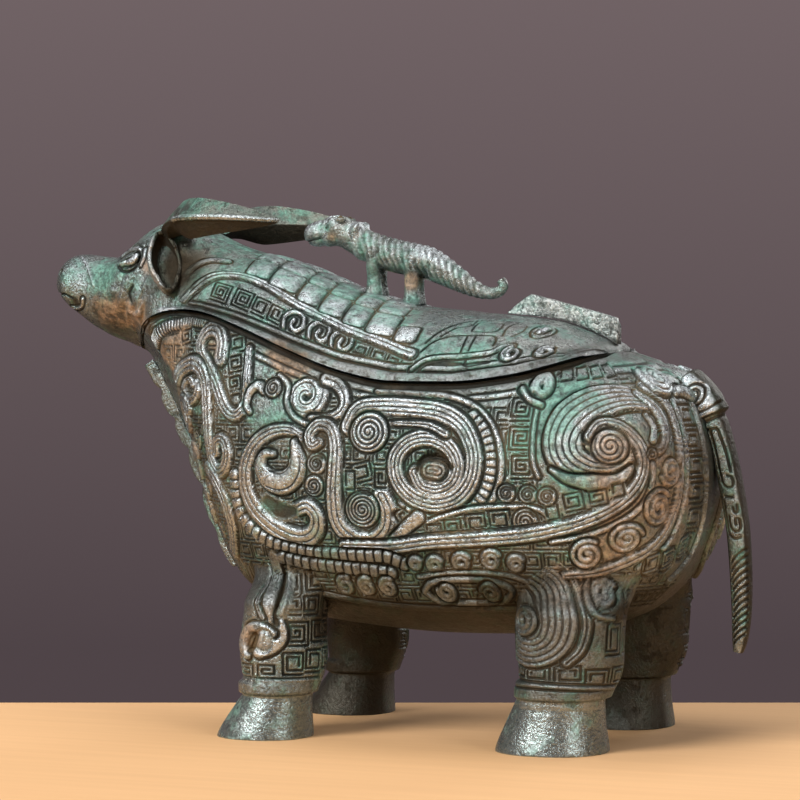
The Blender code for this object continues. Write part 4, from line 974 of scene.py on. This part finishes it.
def work(piece, relief):
    """Raises and sinks the surface by its ornament and keeps the depths for the finish."""
    pick(piece)
    points = points_of(piece)
    depth, edge = relief(points)
    for name, rise, push in (("raised", depth, MOST_RELIEF), ("sunk", -depth, -MOST_RELIEF)):
        amount = np.clip(rise, 0, MOST_RELIEF) / MOST_RELIEF
        group = piece.vertex_groups.new(name=name)
        for index in np.nonzero(amount > 0.0005)[0]:
            group.add((int(index),), float(amount[index]), 'REPLACE')
        move = piece.modifiers.new(name, 'DISPLACE')
        move.vertex_group, move.strength, move.mid_level = name, push * MM, 0.0
        bpy.ops.object.modifier_apply(modifier=move.name)
    piece.vertex_groups.clear()
    keep_depths(piece, points, depth, edge)
    bpy.ops.object.shade_smooth()


def dress(piece, body, material, stands_for):
    """Gives a piece its finish, and its place in the frame."""
    piece.data.materials.clear()
    piece.data.materials.append(material)
    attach(piece, body)
    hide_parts(stands_for)


# Finishes: what the patina reads, and its usual values
MARKS = {"Relief": 0.0, "Green": 0.0, "Rust": 0.0, "Grime": 0.0, "Hoof": 0.0, "Wear And Sheen": 1.0, "Pale": 0.0,
         "Cut Edge": 1.0}


def patina_group():
    """Buried-bronze patina: dark ground, green and rust blooms, worn tops and earth in the cuts."""
    group = bpy.data.node_groups.new("buried_patina", 'ShaderNodeTree')
    for name, default in MARKS.items():
        socket = group.interface.new_socket(name=name, in_out='INPUT', socket_type='NodeSocketFloat')
        socket.default_value = default
    group.interface.new_socket(name="Color", in_out='OUTPUT', socket_type='NodeSocketColor')
    for name in ("Roughness", "Metallic", "Height"):
        group.interface.new_socket(name=name, in_out='OUTPUT', socket_type='NodeSocketFloat')
    n, links = group.nodes, group.links
    entry, out = n.new('NodeGroupInput'), n.new('NodeGroupOutput')
    place = n.new('ShaderNodeTexCoord')

    def noise(scale, detail=4.0, rough=0.55):
        node = n.new('ShaderNodeTexNoise')
        node.inputs["Scale"].default_value = scale
        node.inputs["Detail"].default_value = detail
        node.inputs["Roughness"].default_value = rough
        links.new(place.outputs["Object"], node.inputs["Vector"])
        return node.outputs["Fac"]

    def spread(value, low, high, start=0.0, end=1.0):
        node = n.new('ShaderNodeMapRange')
        node.interpolation_type = 'SMOOTHSTEP'
        for name, number in (("From Min", low), ("From Max", high), ("To Min", start), ("To Max", end)):
            node.inputs[name].default_value = number
        links.new(value, node.inputs["Value"])
        return node.outputs["Result"]

    def sums(kind, a, b):
        node = n.new('ShaderNodeMath')
        node.operation = kind
        for value, socket in ((a, node.inputs[0]), (b, node.inputs[1])):
            if isinstance(value, (int, float)):
                socket.default_value = value
            else:
                links.new(value, socket)
        return node.outputs[0]

    def times(a, b):
        return sums('MULTIPLY', a, b)

    def plus(a, b):
        return sums('ADD', a, b)

    def less(a, b):
        return sums('SUBTRACT', a, b)

    def most(a, b):
        return sums('MAXIMUM', a, b)

    def mix(amount, under, over):
        node = n.new('ShaderNodeMix')
        node.data_type = 'RGBA'
        for value, socket in ((amount, node.inputs[0]), (under, node.inputs[6]), (over, node.inputs[7])):
            if isinstance(value, tuple):
                socket.default_value = (*value, 1)
            elif isinstance(value, (int, float)):
                socket.default_value = value
            else:
                links.new(value, socket)
        return node.outputs[2]

    relief, greened, rusted, grimed_and_shaded, hoof, wear_and_sheen, paled, cut_edge = [entry.outputs[name] for name in MARKS]
    broad, mottled, fine, grit = noise(45), noise(170, 5, 0.65), noise(560, 4, 0.6), noise(1500, 3, 0.6)
    dust = noise(3200, 2, 0.6)
    # dark ground, worn tops and hooves
    clean_and_lit = less(1.0, grimed_and_shaded)
    ground = mix(spread(broad, 0.36, 0.64), (0.076, 0.106, 0.094), (0.218, 0.229, 0.199))
    ground = mix(spread(mottled, 0.46, 0.66, 0, 0.8), ground, (0.090, 0.228, 0.180))
    tops = times(spread(relief, -0.22, 0.42), spread(fine, 0.30, 0.62, 0.5, 1.0))
    tops = times(times(tops, wear_and_sheen), clean_and_lit)
    worn = mix(times(tops, 0.76), ground, (0.640, 0.700, 0.735))
    worn = mix(times(hoof, 0.7), worn, (0.225, 0.270, 0.255))
    # green and rust
    bloom = plus(times(greened, 0.36), mottled)
    bloom = plus(bloom, times(fine, 0.3))
    bloom = times(spread(bloom, 0.66, 1.02), spread(grimed_and_shaded, 0, 1, 1.0, 0.4))
    green = mix(spread(fine, 0.36, 0.66), (0.036, 0.160, 0.116), (0.180, 0.445, 0.340))
    color = mix(times(bloom, 0.72), worn, green)
    stain = plus(times(rusted, 0.42), noise(110, 5, 0.7))
    stain = spread(stain, 0.68, 0.98)
    brown = mix(spread(fine, 0.34, 0.66), (0.145, 0.087, 0.044), (0.520, 0.345, 0.210))
    color = mix(times(stain, 0.75), color, brown)
    # pale specks and dark crust
    pale = most(paled, times(hoof, 0.06))
    speck = mix(spread(grit, 0.42, 0.6), (0.390, 0.435, 0.406), (0.880, 0.890, 0.850))
    color = mix(times(pale, spread(fine, 0.25, 0.6)), color, speck)
    crust = spread(noise(320, 6, 0.72), 0.54, 0.68)
    crust = times(crust, spread(hoof, 0, 1, 1.0, 0.35))
    color = mix(times(crust, 0.62), color, (0.035, 0.042, 0.035))
    color = mix(spread(grit, 0.56, 0.34, 0.0, 0.5), color, (0.043, 0.049, 0.041))
    # earth in the cuts, and dark brown for grime and painted shade
    groove = spread(cut_edge, 0.14, -0.10)
    sunk = most(spread(relief, -0.10, -0.50), groove)
    earth = mix(spread(broad, 0.42, 0.66), (0.014, 0.014, 0.012), (0.122, 0.086, 0.040))
    color = mix(times(sunk, 0.9), color, earth)
    color = mix(times(grimed_and_shaded, 0.86), color, (0.042, 0.034, 0.023))
    links.new(color, out.inputs["Color"])
    # roughness, bare metal and pits
    dull = plus(times(most(bloom, stain), 0.16), spread(fine, 0.2, 0.8, 0.20, 0.36))
    dull = plus(dull, times(grimed_and_shaded, 0.2))
    dull = less(dull, times(hoof, 0.06))
    links.new(plus(dull, times(sunk, 0.3)), out.inputs["Roughness"])
    bare = less(1.0, times(most(bloom, stain), 0.6))
    bare = times(bare, spread(tops, 0, 1, 0.72, 0.92))
    links.new(most(bare, times(grimed_and_shaded, 0.9)), out.inputs["Metallic"])
    pits = less(plus(times(grit, 0.9), fine), times(groove, 0.9))
    pits = less(pits, times(crust, 0.5))
    pits = plus(pits, times(dust, 0.35))
    pits = times(pits, spread(hoof, 0, 1, 1.0, 0.45))
    links.new(plus(pits, times(mottled, 0.8)), out.inputs["Height"])
    return group


PATINA = patina_group()


def aged_bronze(name, wear_and_sheen=1.0, pale=0.0, bump=0.8):
    """Bronze with the shared patina, more or less worn, paled and pitted."""
    material = bpy.data.materials.new(name)
    material.use_nodes = True
    n, links = material.node_tree.nodes, material.node_tree.links
    shader = n["Principled BSDF"]
    group = n.new('ShaderNodeGroup')
    group.node_tree = PATINA
    group.inputs["Wear And Sheen"].default_value = wear_and_sheen
    group.inputs["Pale"].default_value = pale
    for socket in ("Relief", "Green", "Rust", "Grime", "Hoof", "Cut Edge"):
        read = n.new('ShaderNodeAttribute')
        read.attribute_name = socket.lower().replace(" ", "_")
        links.new(read.outputs["Fac"], group.inputs[socket])
    for socket, target in (("Color", "Base Color"), ("Roughness", "Roughness"), ("Metallic", "Metallic")):
        links.new(group.outputs[socket], shader.inputs[target])
    bumps = n.new('ShaderNodeBump')
    bumps.inputs["Strength"].default_value = bump
    bumps.inputs["Distance"].default_value = 0.0004
    links.new(group.outputs["Height"], bumps.inputs["Height"])
    links.new(bumps.outputs["Normal"], shader.inputs["Normal"])
    shader.inputs["Specular IOR Level"].default_value = 0.6
    return material


vessel_finish = aged_bronze("vessel_patina")
inner_finish = aged_bronze("vessel_inside", wear_and_sheen=0.3)
leg_finish = aged_bronze("leg_patina")
# the lid's and the tail's higher wear values brighten their raised parts, partly as wear and partly as
# painted sheen
lid_finish = aged_bronze("lid_patina", wear_and_sheen=1.2)
horn_finish = aged_bronze("horn_patina", wear_and_sheen=0.6)
tiger_finish = aged_bronze("tiger_patina")
tail_finish = aged_bronze("tail_patina", wear_and_sheen=1.5)
crest_finish = aged_bronze("crest_patina", pale=0.4, bump=1.0)


# Vessel: the plain inside, and the worked skin in four quarters
SKIN_STEP = 0.29
SKIN_GIRTH, SKIN_SPLIT_X, SECTION_POINTS = 96, 14, 240


def skin_line(x):
    """The body's line at x from top to keel, its running length, and where the rim crosses it."""
    angle = np.linspace(math.pi / 2, -math.pi / 2, SECTION_POINTS)
    y, z = body_point(np.full(SECTION_POINTS, x), angle)
    run = np.concatenate([[0], np.cumsum(np.hypot(np.diff(y), np.diff(z)))])
    return y, z, run, 0.0 if x >= HEEL_X else float(np.interp(-rim(x), -z, run))


def skin_rows(first, last):
    """Places along the body, closer together where the rim climbs to the heel and round the rump."""
    rump = RUMP_X - RUMP_ROUND
    fine = np.concatenate([np.linspace(LIP_X, HEEL_X - 6, 400),
                           HEEL_X - 6 * np.linspace(1, 0, 600)[1:] ** 3,
                           np.linspace(HEEL_X, rump, 100)[1:],
                           rump + RUMP_ROUND * np.sin(np.linspace(0, math.pi / 2, 400))[1:]])
    fine = np.unique(np.clip(fine, first, last))
    crossing = np.array([skin_line(x)[3] for x in fine])
    round_end = 1.4 * RUMP_ROUND * (1 - np.sqrt(np.clip((RUMP_X - fine) / RUMP_ROUND, 0, 1)))
    travel = np.hypot(np.hypot(np.diff(fine), 0.2 * np.diff(crossing)), np.diff(round_end))
    travel = np.concatenate([[0], np.cumsum(travel)])
    return np.interp(np.linspace(0, travel[-1], int(travel[-1] / SKIN_STEP)), travel, fine)


def skin_net(rows, side):
    """Rows of points from the rim down to the keel, and the way the skin looks at each."""
    depths = np.linspace(0, 1, int(SKIN_GIRTH / SKIN_STEP))
    net = []
    for x in rows:
        y, z, run, rim_run = skin_line(x)
        low = min(1.0, 0.80 + 0.20 * ease((-34 - x) / 16) + 0.20 * ease((x - 50) / 20))
        share = np.concatenate([depths * low, low + (1 - low) * np.linspace(0, 1, 15)[1:]]) * run[-1]
        share = np.maximum(share, rim_run)
        net.append(np.stack([np.full(len(share), x), side * np.interp(share, run, y),
                             np.interp(share, run, z)], -1))
    net = np.array(net)
    normal = np.cross(np.gradient(net, axis=0), np.gradient(net, axis=1)) * side
    length = np.linalg.norm(normal, axis=2, keepdims=True)
    return net, np.where(length > 1e-6, normal / np.maximum(length, 1e-9), 0)


def body_quarter(name, side, first, last):
    """One quarter of the belly skin: a fine net over the body form, raised and sunk by its ornament."""
    net, normal = skin_net(skin_rows(first, last), side)
    points = net.reshape(-1, 3)
    depth, edge = flank_relief(points)
    rows, count = net.shape[:2]
    start = (np.arange(rows - 1)[:, None] * count + np.arange(count - 1)[None, :]).reshape(-1)
    corners = [start, start + count, start + count + 1, start + 1]
    faces = np.stack(corners if side > 0 else corners[::-1], -1)
    mesh = bpy.data.meshes.new(name)
    mesh.from_pydata((points + normal.reshape(-1, 3) * depth[:, None]) * MM, [], faces)
    piece = bpy.data.objects.new(name, mesh)
    bpy.context.collection.objects.link(piece)
    keep_depths(piece, points, depth, edge)
    pick(piece)
    bpy.ops.object.mode_set(mode='EDIT')
    bpy.ops.mesh.select_all(action='SELECT')
    bpy.ops.mesh.remove_doubles(threshold=1e-6)
    bpy.ops.object.mode_set(mode='OBJECT')
    bpy.ops.object.shade_smooth()
    return piece


def looks_out(centre, facing, middle_x, middle_z):
    """Which faces look away from a line through the middle of a casting."""
    core = np.stack([middle_x, np.zeros(len(centre)), middle_z], -1)
    return ((centre - core) * facing).sum(1) > 0


inside = take_casting("vessel_body", "vessel_inside")
centre, facing = faces_of(inside)
x, y, z = centre.T
outside = looks_out(centre, facing, np.clip(x, -45, 58), np.interp(x, (-60, -40, 0), (95, 72, 66)))
outside &= z < along_line(RIM_LINE, np.clip(x, -78, 62)) - np.where(x < 62, 0.6, -9)
proud = np.abs(y) - body_half_width(x, z)
outside |= (proud > -1.7) & (z > 32) & (z < rim(np.clip(x, LIP_X, HEEL_X)) - 0.8)
choose_faces(inside, outside)
bpy.ops.mesh.delete(type='FACE')
bpy.ops.object.mode_set(mode='OBJECT')
soften(inside, 2)
work(inside, no_relief)
dress(inside, "vessel", inner_finish, "vessel_body")
for name, side, first, last in (("left_shoulder_skin", -1, LIP_X, SKIN_SPLIT_X),
                                ("left_haunch_skin", -1, SKIN_SPLIT_X, RUMP_X),
                                ("right_shoulder_skin", 1, LIP_X, SKIN_SPLIT_X),
                                ("right_haunch_skin", 1, SKIN_SPLIT_X, RUMP_X)):
    dress(body_quarter(name, side, first, last), "vessel", vessel_finish, "vessel_body")

# Lid: worked top in two halves, and the plain underside
under = take_casting("lid", "lid_underside")
centre, facing = faces_of(under)
x, _, z = centre.T
outside = looks_out(centre, facing, np.clip(x, -84, 50),
                    np.minimum(along_line(RIM_LINE, np.clip(x, -60, 62)) - 2, 112))
outside &= (x < -66) | (z > along_line(RIM_LINE, np.clip(x, -78, 62)) + 0.5)
top = split_off(under, outside, "lid_top")
soften(under, 2)
work(under, no_relief)
dress(under, "lid", inner_finish, "lid")
soften(top, 3)
centre, _ = faces_of(top)
refine(top, unroll_lid(centre)[1] < 26)
work(top, lid_relief)
centre, _ = faces_of(top)
for half in (top, split_off(top, centre[:, 1] > 0, "lid_top_right")):
    dress(half, "lid", lid_finish, "lid")


# Shaping of single castings, beyond what their solids give

def draw_in_top(leg):
    """Lets the upper end of a leg run out smoothly into the belly skin."""
    points = points_of(leg)
    x, y, z = points.T
    proud = np.abs(y) - body_half_width(x, np.maximum(z, body_section(x)[0] + 0.5))
    share = ease((z - 33) / 11) * (proud > -0.7)
    points[:, 1] -= np.sign(y) * share * (proud + 0.7)
    put_points(leg, points)


def slim_root(horn):
    """Lifts the under side of a horn's root, so that the horn springs from a narrow stem."""
    points = points_of(horn)
    x, _, z = points.T
    middle = np.interp(x, (-56.5, -54, -50.3, -44.5), (122.4, 126, 128, 128.9))
    points[:, 2] += 0.55 * ease((-45 - x) / 9) * np.maximum(middle - z, 0)
    put_points(horn, points)


def darken_underside(horn):
    """The under side of a horn, apart from its ridge, is painted dark as shade, and only its upper side
    gets green.
    """
    under = ease((0.05 - normals_of(horn)[:, 2]) / 0.1)
    ridge = np.empty(len(under))
    horn.data.attributes["relief"].data.foreach_get("value", ridge)
    set_layer(horn, "relief", np.where(ridge > 0.2, ridge, -0.22 - 0.12 * under))
    set_layer(horn, "grime", 0.96 * under * (ridge < 0.2))
    set_layer(horn, "green", 0.3 * (1 - under))


def shade_narrow_faces(tail):
    """The tail's narrow faces are painted dark as shade; its broad sides are left clear of it."""
    set_layer(tail, "grime", ease((0.75 - np.abs(normals_of(tail)[:, 1])) / 0.3))


def gather_feet(tiger):
    """Brings the tiger's feet closer together under its body, and makes them stouter."""
    points = points_of(tiger)
    x, y, z = points.T
    foot = ease((117 - z) / 3) * (np.abs(y) > 0.8) * (x < 11)
    centre = np.where(x < 1.2, -3.9, 6.3)
    points[:, 0] += foot * 0.22 * (x - centre)
    points[:, 1] -= foot * np.sign(y) * 1.3
    put_points(tiger, points)


# Ear: its place, its half sizes across, in depth and along, and the way it droops
EAR_PLACE, EAR_SIZE = (-55.4, 17.6, 117.6), (3.4, 3.2, 8.2)
EAR_ALONG, EAR_OPENS, EAR_WALL = (5.0, 6.0, -13.0), (0.62, 0.78, 0.0), 1.1


def ear_width(along):
    """How much of its full width the ear has, along its length."""
    return 1 - 0.35 * ease(along / EAR_SIZE[2]) - 0.15 * ease(-along / EAR_SIZE[2])


def ear_leaf(name, side):
    """A drooping leaf, hollow towards the side and rear."""
    bpy.ops.object.select_all(action='DESELECT')
    bpy.ops.mesh.primitive_uv_sphere_add(segments=32, ring_count=20, radius=MM)
    ear = bpy.context.object
    ear.name = ear.data.name = name
    _, facing = faces_of(ear)
    choose_faces(ear, facing[:, 1] > 0.25)
    bpy.ops.mesh.delete(type='FACE')
    bpy.ops.mesh.select_all(action='SELECT')
    bpy.ops.transform.resize(value=EAR_SIZE)
    bpy.ops.object.mode_set(mode='OBJECT')
    points = points_of(ear)
    points[:, 0] *= ear_width(points[:, 2])
    put_points(ear, points)
    pick(ear)
    wall = ear.modifiers.new("wall", 'SOLIDIFY')
    wall.thickness, wall.offset = EAR_WALL * MM, 1.0
    bpy.ops.object.modifier_apply(modifier=wall.name)
    soften(ear, 2)
    place, along, opens = [Vector((x, side * y, z)) for x, y, z in (EAR_PLACE, EAR_ALONG, EAR_OPENS)]
    along.normalize()
    opens = (opens - along * opens.dot(along)).normalized()
    across = opens.cross(along)
    turn = Matrix((across, opens, along)).transposed().to_4x4()
    ear.matrix_world = Matrix.Translation(place * MM) @ turn
    bpy.ops.object.transform_apply(location=True, rotation=True, scale=True)
    points = points_of(ear)
    local = (points - np.array(place)) @ np.array([across, opens, along]).T
    wide, deep, long = EAR_SIZE
    out = np.sqrt((local[:, 0] / (wide * ear_width(local[:, 2]))) ** 2
                  + (local[:, 1] / deep) ** 2 + (local[:, 2] / long) ** 2)
    # the hollow and the leaf behind its front edge are painted dark as shade; the front edge gets rust
    hollow = ease((1.12 - out) / 0.08)
    keep_depths(ear, points, 0.15 - 0.75 * hollow, np.ones(len(points)))
    behind = points[:, 0] - place.x - (place.z - points[:, 2]) * 5 / 13
    front = ease(0.4 - behind / 1.6)
    set_layer(ear, "grime", np.maximum(hollow, 1 - front))
    set_layer(ear, "rust", 0.6 * front * (1 - hollow))
    bpy.ops.object.shade_smooth()
    return ear


# Legs, tail, flange, horns, ears, tiger and crest
for node, sheet, middle in (("front_left_leg", front_leg_sheet, FRONT_LEG_X),
                            ("front_right_leg", front_leg_sheet, FRONT_LEG_X),
                            ("hind_left_leg", hind_leg_sheet, HIND_LEG_X),
                            ("hind_right_leg", hind_leg_sheet, HIND_LEG_X)):
    leg = take_casting(node, node + "_casting", 0.6)
    soften(leg, 3)
    centre, _ = faces_of(leg)
    refine(leg, (centre[:, 2] > COLLAR_Z) & (np.abs(centre[:, 1]) > 20))
    draw_in_top(leg)
    work(leg, leg_relief(sheet, middle))
    dress(leg, "vessel", leg_finish, node)

for node, body, slot, finish, relief, levels in (
        ("tail", "vessel", "tail_bronze", tail_finish, tail_relief, 4),
        ("chest_flange", "vessel", "body_bronze", vessel_finish, no_relief, 2),
        ("left_horn", "lid", "horn_bronze", horn_finish, horn_relief, 3),
        ("right_horn", "lid", "horn_bronze", horn_finish, horn_relief, 3),
        ("tiger_knob", "lid", "tiger_bronze", tiger_finish, tiger_relief, 3),
        ("lid_crest", "lid", "crest_bronze", crest_finish, no_relief, 2)):
    horn = node.endswith("horn")
    casting = take_casting(node, node + "_casting", 1.0 if horn else 0.6, 25 if horn else 42)
    soften(casting, levels)
    if node == "tiger_knob":
        gather_feet(casting)
    if horn:
        slim_root(casting)
    work(casting, relief)
    if node == "tail":
        shade_narrow_faces(casting)
    if horn:
        darken_underside(casting)
        bpy.ops.object.shade_smooth_by_angle(angle=math.radians(32))
    dress(casting, body, finish, node)

for side, node in ((-1, "left_ear"), (1, "right_ear")):
    dress(ear_leaf(node + "_leaf", side), "lid", lid_finish, node)

# Floor, backdrop, lamps and camera, in metres. The camera looks at the left side, a little from behind
VIEW_TURN, VIEW_RISE, VIEW_AWAY = math.radians(22), math.radians(1), 0.75


def new_nodes(owner, *kinds):
    return [owner.node_tree.nodes.new("ShaderNode" + kind) for kind in kinds]


def join(owner, *pairs):
    """Links the sockets of each pair, from the first to the second."""
    for start, end in pairs:
        owner.node_tree.links.new(start, end)


bpy.ops.object.select_all(action='DESELECT')
bpy.ops.mesh.primitive_plane_add(size=1, location=(0, 0, 0))
floor = bpy.context.object
floor.name = "floor"
bpy.ops.object.mode_set(mode='EDIT')
bpy.ops.transform.resize(value=(2.4, 1.2, 1))
bpy.ops.transform.translate(value=(0, -0.55, 0))
bpy.ops.transform.rotate(value=-VIEW_TURN, orient_axis='Z', center_override=(0, 0, 0))
bpy.ops.mesh.subdivide(number_cuts=3)
bpy.ops.object.mode_set(mode='OBJECT')
table = bpy.data.materials.new("pale_table")
table.use_nodes = True
plain = table.node_tree.nodes["Principled BSDF"]
place, stretch, streak, tint = new_nodes(table, "TexCoord", "Mapping", "TexNoise", "Mix")
stretch.inputs["Rotation"].default_value = (0, 0, -VIEW_TURN)
stretch.inputs["Scale"].default_value = (3, 60, 1)
streak.inputs["Scale"].default_value = 4
tint.data_type = 'RGBA'
tint.inputs[6].default_value = (0.770, 0.441, 0.206, 1)
tint.inputs[7].default_value = (0.865, 0.514, 0.247, 1)
join(table, (place.outputs["Object"], stretch.inputs["Vector"]),
     (stretch.outputs["Vector"], streak.inputs["Vector"]),
     (streak.outputs["Fac"], tint.inputs[0]), (tint.outputs[2], plain.inputs["Base Color"]))
plain.inputs["Roughness"].default_value = 0.7
floor.data.materials.append(table)

# World: a dim even fill, and the backdrop that only the camera and reflections see
scene = bpy.context.scene
scene.view_settings.view_transform = 'Standard'
world = bpy.data.worlds.new("studio")
scene.world = world
world.use_nodes = True
fill = world.node_tree.nodes["Background"]
fill.inputs["Color"].default_value = (0.80, 0.84, 0.85, 1)
fill.inputs["Strength"].default_value = 0.06
where, height, level, shade = new_nodes(world, "TexCoord", "SeparateXYZ", "MapRange", "Mix")
wall, path, seen, choose = new_nodes(world, "Background", "LightPath", "Math", "MixShader")
level.inputs["From Min"].default_value = -0.10
level.inputs["From Max"].default_value = 0.12
shade.data_type = 'RGBA'
shade.inputs[6].default_value = (0.078, 0.058, 0.064, 1)
shade.inputs[7].default_value = (0.163, 0.124, 0.130, 1)
seen.operation = 'MAXIMUM'
join(world, (where.outputs["Generated"], height.inputs[0]), (height.outputs["Z"], level.inputs["Value"]),
     (level.outputs["Result"], shade.inputs[0]), (shade.outputs[2], wall.inputs["Color"]),
     (path.outputs["Is Camera Ray"], seen.inputs[0]), (path.outputs["Is Glossy Ray"], seen.inputs[1]),
     (seen.outputs[0], choose.inputs[0]), (fill.outputs[0], choose.inputs[1]),
     (wall.outputs[0], choose.inputs[2]),
     (choose.outputs[0], world.node_tree.nodes["World Output"].inputs["Surface"]))


def soft_box(name, place, target, size, power):
    """A round lamp that looks at a target."""
    bpy.ops.object.light_add(type='AREA', location=place)
    lamp = bpy.context.object
    lamp.name = name
    lamp.data.shape, lamp.data.size, lamp.data.energy = 'DISK', size, power
    lamp.rotation_euler = (Vector(target) - Vector(place)).to_track_quat('-Z', 'Y').to_euler()


soft_box("key_softbox", (-0.38, -0.90, 0.74), (0, 0, 0.07), 0.6, 14.7)
soft_box("top_softbox", (-0.10, 0.05, 1.0), (0, 0, 0.08), 0.6, 4.2)
soft_box("rear_softbox", (0.95, -0.60, 0.42), (0, 0, 0.07), 0.4, 4.2)
soft_box("back_softbox", (0.35, 1.05, 0.60), (0, 0, 0.07), 0.6, 4.2)

target = Vector((0.00236, 0, 0.083))
level_way = Vector((math.sin(VIEW_TURN), -math.cos(VIEW_TURN), 0))
back = level_way * math.cos(VIEW_RISE) + Vector((0, 0, math.sin(VIEW_RISE)))
bpy.ops.object.camera_add(location=target + back * VIEW_AWAY)
camera = bpy.context.object
camera.rotation_euler = (-back).to_track_quat('-Z', 'Y').to_euler()
camera.data.lens, camera.data.sensor_width = 133.1, 36
camera.data.clip_start, camera.data.clip_end = 0.01, 20
scene.camera = camera
